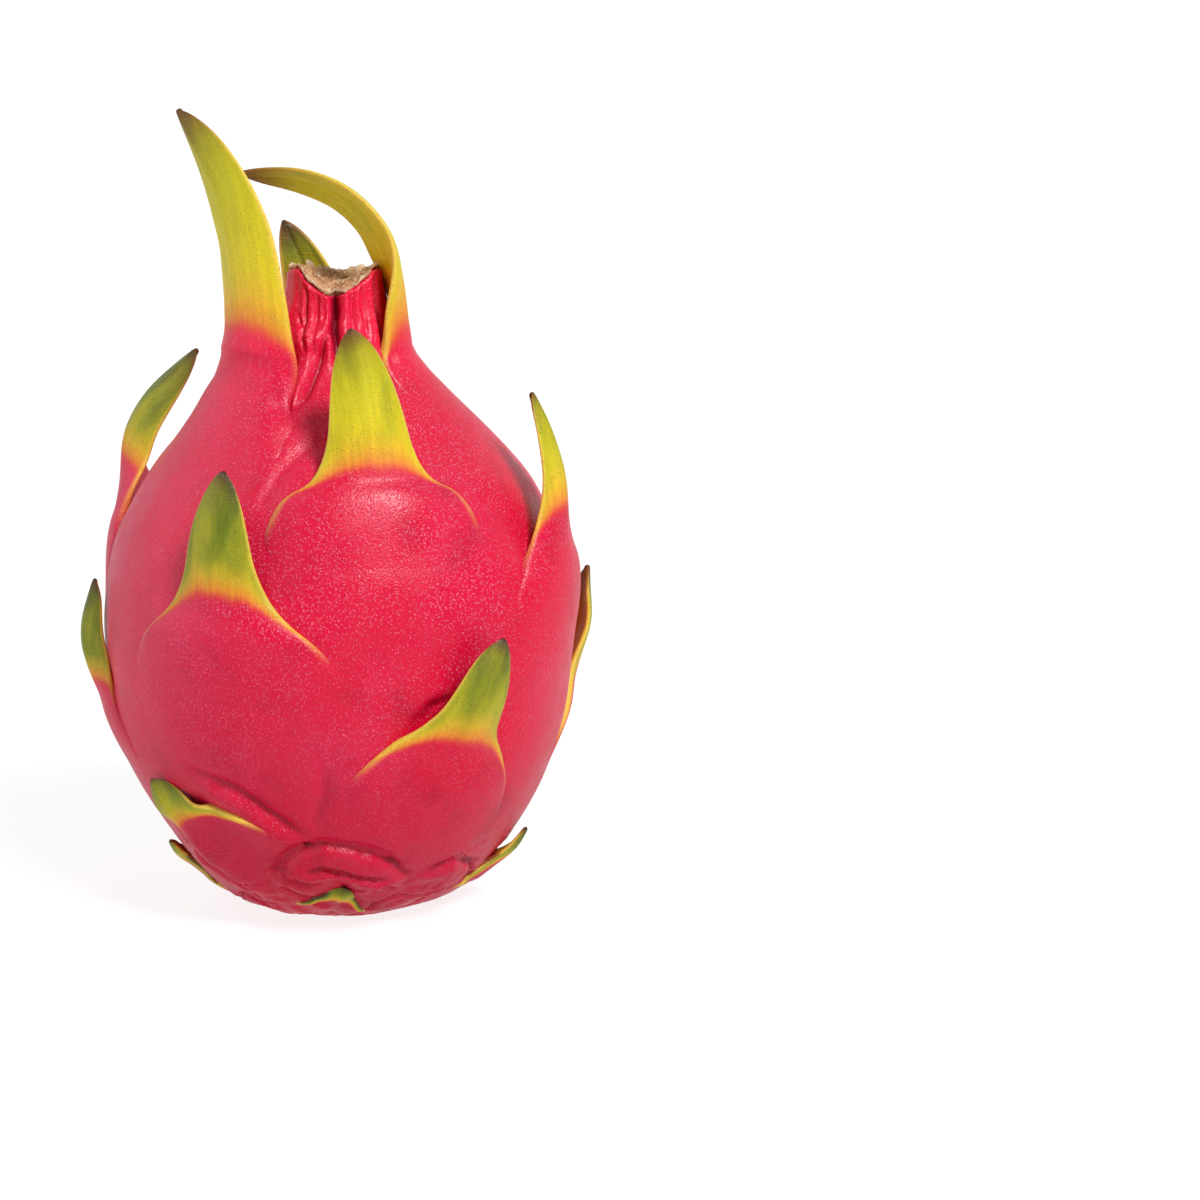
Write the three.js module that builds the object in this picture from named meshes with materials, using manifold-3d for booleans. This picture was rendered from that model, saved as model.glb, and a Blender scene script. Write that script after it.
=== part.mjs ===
// A whole dragon fruit (white-fleshed pitaya) standing on its stem end.
//
// The rind and the flesh in it are one grown solid. Leaf-like bracts stand on it: three long ones
// round the neck, then rings of shorter ones down to the stem end. The dry end of the flower tube
// closes the neck. Millimetres, +Z up, origin at the middle of the flat spot that the fruit rests on.
import * as THREE from "three";
import { mergeVertices } from "three/addons/utils/BufferGeometryUtils.js";
import Module from "manifold-3d";

const wasm = await Module();
wasm.setup();

// ---- Driving dimensions: millimetres, and degrees for angles ----

const BELLY_RADIUS = 46; // the fruit is widest here
const BELLY_HEIGHT = 57;
const REST_RADIUS = 15; // the flat spot at the stem end
const SHOULDER_HEIGHT = 112; // where the body ends and the neck starts
const NECK_FOOT_RADIUS = 12.2;
const NECK_RADIUS = 8.9;
const NECK_LENGTH = 13;
const NECK_FOLDS = 6; // lengthwise folds that the flower tube left in the neck
const NECK_FOLD_DEPTH = 1.1;
const FOLD_RUN_OUT = 14; // how far below the neck the folds fade into the body

const CUP_WALL = 1.4; // rim of the cup in the neck's top that holds the dry end of the flower tube
const CUP_DEPTH = 4;
const SCAR_RISE = 0.8; // how far the dry end stands out of the cup
const SCAR_DISH = 2.2; // depth of the hollow in its top

const NECK_TOP = SHOULDER_HEIGHT + NECK_LENGTH;

const SEAT_GAP = 0.3; // clearance between a bract or the scar and the body
const ROOTING = 1.4; // how far a bract's foot reaches under the rind's line before it is cut to fit
const RIDGE_HEIGHT = 1.3; // a bract's edge above the rind, at the foot of the blade
const RIDGE_END = 0.8; // share of the shoulder over which that edge fades
const FOOT_HEIGHT = 0.8; // least height of a bract's shoulder above the rind
const TAPER_START = 2.4; // greater keeps a blade wide for longer
const TAPER_BLUNTNESS = 0.75; // smaller makes the tip blunter
const SEAT_SPREAD = 0.12; // share of the blade over which the seat's extra width runs out
const CUP = 0.38; // how far a blade's edges turn in, as a share of its half width
const EDGE_SHARE = 0.3; // a blade's thickness at its edge, as a share of its middle
const THINNEST = 0.5;
const SEAT_LEAN = -12; // a blade starts no further in towards the neck than this

const BODY_SEGMENTS = 60;
const PROFILE_STEPS = 10; // for each of the three curves of the body's profile
const SPINE_STEPS = 60;

const degrees = THREE.MathUtils.degToRad;
const { lerp, smoothstep, clamp } = THREE.MathUtils;
const at = (radius, height) => new THREE.Vector2(radius, height);

// ---- Body ----

const profile = bodyProfile();

// Points (radius, height) up the body's side, from the edge of the flat spot to the top of the neck.
function bodyProfile() {
  const upper = SHOULDER_HEIGHT - BELLY_HEIGHT;
  const belly = at(BELLY_RADIUS, BELLY_HEIGHT);
  const neckFoot = at(NECK_FOOT_RADIUS, SHOULDER_HEIGHT);
  const base = new THREE.CubicBezierCurve(
    at(REST_RADIUS, 0),
    at(lerp(REST_RADIUS, BELLY_RADIUS, 0.4), 0),
    at(BELLY_RADIUS, BELLY_HEIGHT * 0.44),
    belly,
  );
  const shoulder = new THREE.CubicBezierCurve(
    belly,
    at(BELLY_RADIUS, BELLY_HEIGHT + upper * 0.62),
    at(NECK_FOOT_RADIUS, BELLY_HEIGHT + upper * 0.84),
    neckFoot,
  );
  const neck = new THREE.CubicBezierCurve(
    neckFoot,
    at(NECK_FOOT_RADIUS, SHOULDER_HEIGHT + NECK_LENGTH * 0.2),
    at(NECK_RADIUS, SHOULDER_HEIGHT + NECK_LENGTH * 0.5),
    at(NECK_RADIUS, NECK_TOP),
  );
  const points = [base, shoulder, neck].flatMap((curve) => curve.getPoints(PROFILE_STEPS).slice(1));
  return [at(REST_RADIUS, 0), ...points];
}

// The body's radius at a height, and how far its side leans out from upright there.
function bodySide(height) {
  const last = profile.length - 1;
  const above = profile.findIndex((point) => point.y > height);
  const i = above < 0 ? last : Math.max(above, 1);
  const [low, high] = [profile[i - 1], profile[i]];
  const share = clamp((height - low.y) / (high.y - low.y), 0, 1);
  return { radius: lerp(low.x, high.x, share), lean: Math.atan2(high.x - low.x, high.y - low.y) };
}

// How far the neck's folds draw the surface in, at an angle round the fruit and a height.
function foldDepth(angle, height) {
  const grown = smoothstep(height, SHOULDER_HEIGHT - FOLD_RUN_OUT, NECK_TOP);
  const crease = (0.5 - 0.5 * Math.cos(NECK_FOLDS * angle)) ** 2;
  return NECK_FOLD_DEPTH * grown * crease;
}

// Draws the points of a turned solid in by the neck's folds.
function pressFolds(geometry) {
  const position = geometry.attributes.position;
  for (let i = 0; i < position.count; i++) {
    const [x, y, z] = [position.getX(i), position.getY(i), position.getZ(i)];
    const radius = Math.hypot(x, y);
    if (radius < 1e-6) continue;
    const kept = 1 - foldDepth(Math.atan2(y, x), z) / Math.max(radius, NECK_RADIUS);
    position.setXY(i, x * kept, y * kept);
  }
  return geometry;
}

// Turns an outline of (radius, height) points about the Z axis.
function turned(outline) {
  return new THREE.LatheGeometry(outline, BODY_SEGMENTS).rotateX(Math.PI / 2);
}

// The body's outline up its side, from the middle of the flat spot, grown outwards by a clearance.
function sideOutline(clearance) {
  const side = profile.map(({ x, y }, i) => {
    const before = profile[Math.max(i - 1, 0)];
    const after = profile[Math.min(i + 1, profile.length - 1)];
    const along = at(after.x - before.x, after.y - before.y).normalize();
    return at(x + along.y * clearance, y - along.x * clearance);
  });
  side[0].y = -clearance;
  side[side.length - 1].y = NECK_TOP + clearance;
  return [at(0, -clearance), ...side];
}

function bodyGeometry() {
  const inside = NECK_RADIUS - CUP_WALL;
  const floor = NECK_TOP - CUP_DEPTH;
  const cup = [at(inside, NECK_TOP), at(inside, floor), at(0, floor)];
  return pressFolds(turned([...sideOutline(0), ...cup]));
}

// The solid that cuts the bracts to fit: the body grown by their clearance.
function cutterGeometry() {
  const outline = sideOutline(SEAT_GAP);
  outline.push(at(0, NECK_TOP + SEAT_GAP));
  return pressFolds(turned(outline));
}

// ---- Dry end of the flower tube ----

function scarGeometry() {
  const foot = NECK_TOP - CUP_DEPTH + SEAT_GAP;
  const top = NECK_TOP + SCAR_RISE;
  const rim = NECK_RADIUS - CUP_WALL - SEAT_GAP;
  const outline = [
    at(0, foot),
    at(rim, foot),
    at(rim, top),
    at(rim * 0.8, top),
    at(rim * 0.45, top - SCAR_DISH * 0.8),
    at(0, top - SCAR_DISH),
  ];
  return pressFolds(turned(outline));
}

// ---- Bracts ----
//
// azimuth   where the bract stands: degrees anticlockwise from +X, seen from above
// root      height of its foot, as a share of the height to the shoulder
// shoulder  length of the raised rind from the foot to the seat, where the blade leaves the fruit
// proud     how far the seat stands out from the rind
// blade     length of the free blade
// half      half widths: of the blade, at the seat, and of the flare at the foot
// lean      degrees out from upright at the tip
// bend      where along the blade it turns to that lean: from and to, as shares of its length
// tilt      degrees that it leans round the fruit, towards growing azimuth: at the foot and at the tip
// twist     degrees that the blade turns about its own midline by the tip
// thick     blade's thickness in the middle, near the seat
const BRACTS = {
  crown_bract_tall: {
    azimuth: -143, root: 0.79, shoulder: 20, proud: 5.6, blade: 57.5, half: [10.6, 10.6, 18],
    lean: 14, bend: [0, 1], tilt: [3, -34], twist: 0, thick: 3.2, rows: 16,
  },
  crown_bract_arched: {
    azimuth: -12, root: 0.89, shoulder: 15, proud: 2.4, blade: 57, half: [6.2, 7, 11],
    lean: -92, bend: [0.08, 0.95], tilt: [0, 2], twist: 56, thick: 2.8, rows: 18,
  },
  crown_bract_back: {
    azimuth: 100, root: 0.82, shoulder: 15, proud: 4.4, blade: 33, half: [6.4, 8, 13],
    lean: -4, bend: [0, 1], tilt: [6, 26], twist: 0, thick: 2.6, rows: 12,
  },
  shoulder_bract_front: {
    azimuth: -75, root: 0.67, shoulder: 17, proud: 5, blade: 29.5, half: [7.4, 11.4, 22],
    lean: -6, bend: [0, 1], tilt: [0, -14], twist: 0, thick: 3, rows: 12,
  },
  shoulder_bract_right: {
    azimuth: 52, root: 0.48, shoulder: 16, proud: 3.5, blade: 23, half: [6.6, 10, 19],
    lean: -32, bend: [0, 1], tilt: [0, 10], twist: 0, thick: 2.8, rows: 11,
  },
  shoulder_bract_left: {
    azimuth: 166, root: 0.545, shoulder: 16, proud: 4, blade: 38.5, half: [7.4, 9.6, 15],
    lean: -46, bend: [0, 0.8], tilt: [0, -4], twist: 0, thick: 2.8, rows: 13,
  },
  upper_bract_right: {
    azimuth: -17, root: 0.5, shoulder: 17, proud: 3.6, blade: 31, half: [5.8, 9, 19],
    lean: -26, bend: [0, 1], tilt: [0, -4], twist: 0, thick: 2.8, rows: 12,
  },
  upper_bract_left: {
    azimuth: -113.5, root: 0.44, shoulder: 17, proud: 3.4, blade: 28, half: [8, 12.6, 24],
    lean: -12, bend: [0, 1], tilt: [0, 11], twist: 0, thick: 2.8, rows: 11,
  },
  upper_bract_back: {
    azimuth: 108, root: 0.4, shoulder: 17, proud: 3.4, blade: 27, half: [6.6, 10, 20],
    lean: -8, bend: [0, 1], tilt: [0, -10], twist: 0, thick: 2.8, rows: 11,
  },
  belly_bract_left: {
    azimuth: -171, root: 0.265, shoulder: 14, proud: 2.2, blade: 24, half: [5.4, 8, 17],
    lean: -14, bend: [0, 0.8], tilt: [0, 4], twist: 0, thick: 2.4, rows: 11,
  },
  belly_bract_right: {
    azimuth: -61.5, root: 0.215, shoulder: 17, proud: 3.4, blade: 24.5, half: [6.6, 12, 21],
    lean: -2, bend: [0, 0.8], tilt: [14, 24], twist: 0, thick: 2.8, rows: 10,
  },
  belly_bract_back_right: {
    azimuth: 20, root: 0.24, shoulder: 16, proud: 3.2, blade: 23, half: [6, 9.5, 19],
    lean: -4, bend: [0, 0.8], tilt: [0, -8], twist: 0, thick: 2.8, rows: 10,
  },
  belly_bract_back_left: {
    azimuth: 138, root: 0.2, shoulder: 16, proud: 3.2, blade: 22, half: [6, 9.5, 19],
    lean: 0, bend: [0, 0.8], tilt: [0, 10], twist: 0, thick: 2.8, rows: 10,
  },
  foot_bract_left: {
    azimuth: -119, root: 0.12, shoulder: 13, proud: 2.4, blade: 13, half: [5, 8, 12],
    lean: 0, bend: [0, 0.8], tilt: [-48, -44], twist: 0, thick: 2.2, rows: 9,
  },
  foot_bract_left_low: {
    azimuth: -166, root: 0.022, shoulder: 9, proud: 1.8, blade: 7, half: [3.6, 6, 9],
    lean: 24, bend: [0, 0.8], tilt: [8, 10], twist: 0, thick: 1.8, rows: 8,
  },
  foot_bract_front: {
    azimuth: -92, root: 0.035, shoulder: 5, proud: 1.4, blade: 5.5, half: [2.8, 4.4, 7.5],
    lean: 24, bend: [0, 0.8], tilt: [20, 30], twist: 0, thick: 1.6, rows: 8,
  },
  foot_bract_right: {
    azimuth: -14, root: 0.026, shoulder: 9, proud: 2, blade: 11, half: [2.4, 5, 10],
    lean: 30, bend: [0, 0.8], tilt: [0, -10], twist: 0, thick: 1.8, rows: 8,
  },
  foot_bract_back_right: {
    azimuth: 80, root: 0.04, shoulder: 12, proud: 2.4, blade: 13, half: [4.6, 7.5, 14],
    lean: 10, bend: [0, 0.8], tilt: [4, 12], twist: 0, thick: 2.2, rows: 9,
  },
  foot_bract_back_left: {
    azimuth: 136, root: 0.022, shoulder: 8, proud: 1.8, blade: 9, half: [3.6, 6, 10],
    lean: 24, bend: [0, 0.8], tilt: [0, -10], twist: 0, thick: 1.8, rows: 8,
  },
};
const BRACT_COLUMNS = 6;

// Half the width of a bract at s, which runs from -1 at the foot, through 0 at the seat, to 1 at the tip.
// The blade keeps its width most of the way and then comes to a blunt point.
function halfWidth({ half: [blade, seat, flare] }, s) {
  if (s < 0) return lerp(seat, flare, -s);
  const tapering = blade * (1 - s ** TAPER_START) ** TAPER_BLUNTNESS;
  const spreading = (seat - blade) * Math.exp(-s / SEAT_SPREAD) * (1 - s);
  return Math.max(tapering + spreading, THINNEST);
}

// Stations along a bract's midline: the place, the two directions across it and the tilt there.
// The midline climbs the rind from the foot, rising off it to the seat, and then leaves it.
function midline(bract) {
  const [footTilt, tipTilt] = bract.tilt.map(degrees);
  const seatRise = Math.atan((2 * bract.proud) / bract.shoulder);
  const place = new THREE.Vector3();
  const stations = [];
  let angle = degrees(bract.azimuth);
  let height = bract.root * SHOULDER_HEIGHT;
  let seatLean;
  for (let i = 0; i <= SPINE_STEPS; i++) {
    const s = -1 + (2 * i) / SPINE_STEPS;
    const step = ((s < 0 ? bract.shoulder : bract.blade) * 2) / SPINE_STEPS;
    const tilt = lerp(footTilt, tipTilt, Math.max(s, 0));
    const out = new THREE.Vector3(Math.cos(angle), Math.sin(angle), 0);
    const round = new THREE.Vector3(-Math.sin(angle), Math.cos(angle), 0);
    const side = bodySide(height);
    if (s <= 0) {
      place.copy(out).multiplyScalar(side.radius + bract.proud * (s + 1) ** 2).setZ(height);
      seatLean = Math.max(side.lean + seatRise, degrees(SEAT_LEAN));
    }
    const turn = smoothstep(s, ...bract.bend);
    const lean = s < 0 ? side.lean : lerp(seatLean, degrees(bract.lean), turn);
    const up = new THREE.Vector3(0, 0, Math.cos(lean)).addScaledVector(out, Math.sin(lean));
    const rise = up.clone().multiplyScalar(Math.cos(tilt)).addScaledVector(round, Math.sin(tilt));
    const across = round.clone().multiplyScalar(Math.cos(tilt)).addScaledVector(up, -Math.sin(tilt));
    across.applyAxisAngle(rise, degrees(bract.twist) * Math.max(s, 0));
    stations.push({ s, tilt, place: place.clone(), across, outward: across.clone().cross(rise) });
    if (s < 0) {
      height += step * rise.z;
      angle += (step * Math.sin(tilt)) / side.radius;
    } else place.addScaledVector(rise, step);
  }
  return stations;
}

// The point of a bract's outer face at a station, u from -1 to 1 across it, with the way out of the
// face there and the bract's thickness.
function outerPoint(bract, { s, tilt, place, across, outward }, u) {
  const half = halfWidth(bract, s);
  // Near the foot the bract lies on the rind as a raised shoulder.
  const angle = Math.atan2(place.y, place.x);
  const under = bodySide(place.z).radius;
  const proud = Math.hypot(place.x, place.y) - under;
  const ridge = RIDGE_HEIGHT * clamp(1 + s / RIDGE_END, 0, 1);
  const height = Math.max(lerp(proud, ridge, u * u), FOOT_HEIGHT);
  const rindAngle = angle + (u * half * Math.cos(tilt)) / under;
  const rindHeight = Math.max(place.z - u * half * Math.sin(tilt), THINNEST);
  const radial = new THREE.Vector3(Math.cos(rindAngle), Math.sin(rindAngle), 0);
  const onRind = radial.clone().multiplyScalar(bodySide(rindHeight).radius + height);
  onRind.setZ(rindHeight);
  // Above the seat it is a free blade, cupped towards the fruit.
  const cup = CUP * half * u * u;
  const free = place.clone().addScaledVector(across, half * u).addScaledVector(outward, -cup);
  const freed = smoothstep(s, -0.25, 0.4);
  const thickAt = bract.thick * (1 - 0.5 * Math.max(s, 0)) * lerp(1, EDGE_SHARE, u * u);
  return {
    point: onRind.lerp(free, freed),
    outward: radial.lerp(outward, freed).normalize(),
    thickness: lerp(height + ROOTING, Math.max(thickAt, THINNEST), smoothstep(s, -0.1, 0.18)),
  };
}

// A bract as a box whose points are moved to its outer and inner faces.
function bractGeometry(bract) {
  const stations = midline(bract);
  const box = new THREE.BoxGeometry(2, 2, 2, BRACT_COLUMNS, 1, bract.rows);
  const geometry = shellOf(box);
  const position = geometry.attributes.position;
  for (let i = 0; i < position.count; i++) {
    const station = stations[Math.round(((position.getZ(i) + 1) / 2) * SPINE_STEPS)];
    const { point, outward, thickness } = outerPoint(bract, station, -position.getX(i));
    if (position.getY(i) < 0) point.addScaledVector(outward, -thickness);
    position.setXYZ(i, point.x, point.y, point.z);
  }
  return geometry;
}

// ---- Solids ----

// A geometry with its shared points merged, so that only the closed surface is left.
function shellOf(geometry) {
  geometry.deleteAttribute("normal");
  geometry.deleteAttribute("uv");
  return mergeVertices(geometry);
}

function solidOf(geometry) {
  const shell = shellOf(geometry);
  const vertProperties = new Float32Array(shell.attributes.position.array);
  const triVerts = new Uint32Array(shell.index.array);
  return new wasm.Manifold(new wasm.Mesh({ numProp: 3, vertProperties, triVerts }));
}

function geometryOf(solid) {
  const mesh = solid.getMesh();
  return new THREE.BufferGeometry()
    .setAttribute("position", new THREE.BufferAttribute(mesh.vertProperties, 3))
    .setIndex(new THREE.BufferAttribute(mesh.triVerts, 1));
}

// A bract cut to sit on the body, without the slivers that the cut leaves beside it.
function seated(bract, cutter) {
  const pieces = solidOf(bractGeometry(bract)).subtract(cutter).decompose();
  return pieces.reduce((most, piece) => (piece.volume() > most.volume() ? piece : most));
}

// ---- The fruit ----

const rind = new THREE.MeshStandardMaterial({ color: 0xd2224c, roughness: 0.5 });
const bractGreen = new THREE.MeshStandardMaterial({ color: 0xa8ac20, roughness: 0.45 });
const cork = new THREE.MeshStandardMaterial({ color: 0x9a7452, roughness: 0.9 });

const dragonFruit = new THREE.Group();

function addNode(name, geometry, material) {
  const mesh = new THREE.Mesh(geometry, material);
  mesh.name = name;
  dragonFruit.add(mesh);
}

const cutter = solidOf(cutterGeometry());
addNode("fruit_body", bodyGeometry(), rind);
addNode("dry_flower_end", scarGeometry(), cork);
for (const [name, bract] of Object.entries(BRACTS))
  addNode(name, geometryOf(seated(bract, cutter)), bractGreen);

export default dragonFruit;
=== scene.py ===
"""A whole dragon fruit standing on a pale floor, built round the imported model.

A class holds each sub-assembly: the rind as a surface, the body that it covers, a bract, the dry end
of the flower tube, and the studio. Their sizes are in millimetres and their angles in degrees, and
MM takes a size to Blender's metres.
"""
import logging
import math
from dataclasses import dataclass, field
from enum import Enum

import bpy
import numpy as np
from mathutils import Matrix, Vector, noise


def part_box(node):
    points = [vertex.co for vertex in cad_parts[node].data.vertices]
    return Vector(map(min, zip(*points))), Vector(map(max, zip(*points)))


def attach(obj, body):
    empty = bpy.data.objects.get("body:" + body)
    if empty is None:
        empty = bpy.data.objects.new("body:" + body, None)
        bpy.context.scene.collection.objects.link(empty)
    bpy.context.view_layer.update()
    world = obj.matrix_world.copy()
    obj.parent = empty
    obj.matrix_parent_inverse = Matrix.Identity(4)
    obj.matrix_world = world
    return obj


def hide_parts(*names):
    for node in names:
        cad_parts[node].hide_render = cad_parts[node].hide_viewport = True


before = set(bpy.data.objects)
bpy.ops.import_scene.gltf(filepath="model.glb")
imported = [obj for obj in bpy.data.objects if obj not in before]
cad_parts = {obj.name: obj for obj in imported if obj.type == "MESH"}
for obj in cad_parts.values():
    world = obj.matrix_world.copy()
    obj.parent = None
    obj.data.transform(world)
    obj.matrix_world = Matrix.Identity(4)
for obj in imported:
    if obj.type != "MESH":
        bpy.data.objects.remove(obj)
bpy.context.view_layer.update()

MM = 0.001

log = logging.getLogger("dragon_fruit")

Array = np.ndarray
Number = np.ndarray | float
Piece = bpy.types.Object
Material = bpy.types.Material
Socket = bpy.types.NodeSocket
Colour = tuple[float, float, float, float]
Pair = tuple[float, float]
Triple = tuple[float, float, float]
Stops = tuple[tuple[float, Colour], ...]


# ---- Small sums ----


def smooth(value: Number, start: float, end: float) -> Number:
    """Ease from 0 at start to 1 at end.

    Args:
        value: What is eased.
        start: Where the ease leaves 0.
        end: Where it reaches 1.

    Returns:
        The share from 0 to 1, of the same shape as value.
    """
    share = np.clip((value - start) / (end - start), 0.0, 1.0)
    return share * share * (3.0 - 2.0 * share)


def mix(low: Number, high: Number, share: Number) -> Number:
    """Return the value that lies a share of the way from low to high."""
    return low + (high - low) * share


def hill(value: Array, width: float) -> Array:
    """Return a bell that is 1 at 0 and falls off over a width."""
    return np.exp(-((value / width) ** 2))


def turn_between(angle: Array, centre: float) -> Array:
    """Return how far each angle lies from a centre, from minus to plus half a turn."""
    return (angle - centre + np.pi) % (2 * np.pi) - np.pi


def grain(places: Array, size: float, seed: float = 0.0) -> Array:
    """Read smooth noise at places.

    Args:
        places: One (x, y, z) a row, in millimetres.
        size: Rough size of the noise's lumps, in millimetres.
        seed: Shifts the noise, so that two readings differ.

    Returns:
        A value from about -1 to 1 for each place.
    """
    shifted = places / size + seed
    return np.array([noise.noise(Vector(place)) for place in shifted])


def layered(places: Array, layers: tuple[Triple, ...]) -> Array:
    """Add up layers of noise, each given as (height, size of its lumps, seed)."""
    return sum(height * grain(places, size, seed) for height, size, seed in layers)


def round_axis(azimuth: Array, radius: Number, height: Number) -> Array:
    """Turn places given round the fruit's axis into (x, y, z) rows.

    Args:
        azimuth: Their angles, in radians.
        radius: How far they are from the axis.
        height: How high they are.

    Returns:
        One (x, y, z) a row.
    """
    across = np.cos(azimuth) * radius
    away = np.sin(azimuth) * radius
    return np.column_stack([across, away, np.broadcast_to(height, azimuth.shape)])


def bezier(points: list[Pair], steps: int) -> Array:
    """Return steps points along a cubic curve, after its first point.

    Args:
        points: The curve's two ends with its two handles between them.
        steps: How many points to return.

    Returns:
        An array of (radius, height) rows.
    """
    start, leave, arrive, end = np.array(points)
    t = np.linspace(0.0, 1.0, steps + 1)[1:, None]
    return (1 - t) ** 3 * start + 3 * t * (1 - t) ** 2 * leave + 3 * t**2 * (1 - t) * arrive + t**3 * end


def paint(red: int, green: int, blue: int) -> Colour:
    """Turn a colour on a screen's scale, 0 to 255, into the linear one that a shader takes.

    Args:
        red: Its red.
        green: Its green.
        blue: Its blue.

    Returns:
        The linear colour, opaque.
    """
    shares = [channel / 255 for channel in (red, green, blue)]
    linear = [s / 12.92 if s <= 0.04045 else ((s + 0.055) / 1.055) ** 2.4 for s in shares]
    return (*linear, 1.0)


# ---- Bench: what is done by hand in Blender ----


def clear_bench() -> None:
    """Leave edit mode and deselect everything."""
    if bpy.context.object and bpy.context.object.mode != "OBJECT":
        bpy.ops.object.mode_set(mode="OBJECT")
    bpy.ops.object.select_all(action="DESELECT")


def spun_skin(name: str, outline: Array, steps: int) -> Piece:
    """Draw an outline point by point and spin it round the fruit's axis.

    Args:
        name: The new piece's name.
        outline: (radius, height) rows in millimetres, from one pole to the other.
        steps: How many segments the whole turn has.

    Returns:
        The closed skin, with its faces outwards.
    """
    clear_bench()
    bpy.ops.mesh.primitive_plane_add(size=MM)
    skin = bpy.context.object
    skin.name = skin.data.name = name
    bpy.ops.object.mode_set(mode="EDIT")
    bpy.ops.mesh.select_all(action="SELECT")
    bpy.ops.mesh.merge(type="CENTER")
    radius, height = outline[0] * MM
    bpy.ops.transform.translate(value=(radius, 0.0, height))
    for radius, height in np.diff(outline, axis=0) * MM:
        bpy.ops.mesh.extrude_region_move(TRANSFORM_OT_translate={"value": (radius, 0.0, height)})
    bpy.ops.mesh.select_all(action="SELECT")
    bpy.ops.mesh.spin(steps=steps, angle=2 * math.pi, center=(0, 0, 0), axis=(0, 0, 1))
    bpy.ops.mesh.select_all(action="SELECT")
    bpy.ops.mesh.remove_doubles(threshold=0.005 * MM)
    bpy.ops.mesh.normals_make_consistent(inside=False)
    bpy.ops.object.mode_set(mode="OBJECT")
    bpy.ops.object.shade_smooth()
    return skin


def places_of(piece: Piece) -> Array:
    """Read where a piece's points are.

    Args:
        piece: The piece that is read.

    Returns:
        One (x, y, z) a row, in millimetres.
    """
    flat = np.empty(len(piece.data.vertices) * 3)
    piece.data.vertices.foreach_get("co", flat)
    return flat.reshape(-1, 3) / MM


def move_points(piece: Piece, places: Array) -> None:
    """Put a piece's points at new places in millimetres."""
    piece.data.vertices.foreach_set("co", (places * MM).ravel())
    piece.data.update()


def add_reading(piece: Piece, name: str, values: Array) -> None:
    """Store a number at each of a piece's points, for its finish to read."""
    reading = piece.data.attributes.new(name=name, type="FLOAT", domain="POINT")
    reading.data.foreach_set("value", np.ascontiguousarray(values, dtype=np.float32))


def apply_modifiers(piece: Piece) -> None:
    """Apply all of a piece's modifiers in order.

    Args:
        piece: The piece, which is left as the active one.
    """
    clear_bench()
    piece.select_set(True)
    bpy.context.view_layer.objects.active = piece
    for modifier in list(piece.modifiers):
        bpy.ops.object.modifier_apply(modifier=modifier.name)


def fit_to_frame(piece: Piece, node: str) -> None:
    """Let a piece stand for a node of the frame.

    Args:
        piece: The finished piece.
        node: The node that it replaces.
    """
    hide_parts(node)
    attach(piece, "root")
    log.info("%s: %d faces", piece.name, len(piece.data.polygons))


# ---- The rind as a surface ----


@dataclass(frozen=True)
class Crease:
    """A groove pressed into the rind, whose left side, going along it, can stand over it.

    Attributes:
        path: (azimuth, height) of its points.
        depth: How deep it is in the middle.
        width: Its half width.
        bulge: How far its left side stands out.
        reach: How far from the groove the bulge goes.
    """

    path: tuple[Pair, ...]
    depth: float
    width: float
    bulge: float = 0.0
    reach: float = 4.0


@dataclass(frozen=True)
class Swelling:
    """A soft rise or dip of the rind.

    Attributes:
        azimuth: Where it is round the fruit, in radians.
        arc: How far up the outline it is.
        half_width: Its reach round the fruit.
        half_length: Its reach along the outline.
        rise: How far it stands out, or in where it is negative.
        owner: The bract that it belongs to.
    """

    azimuth: float
    arc: float
    half_width: float
    half_length: float
    rise: float
    owner: str


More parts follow.
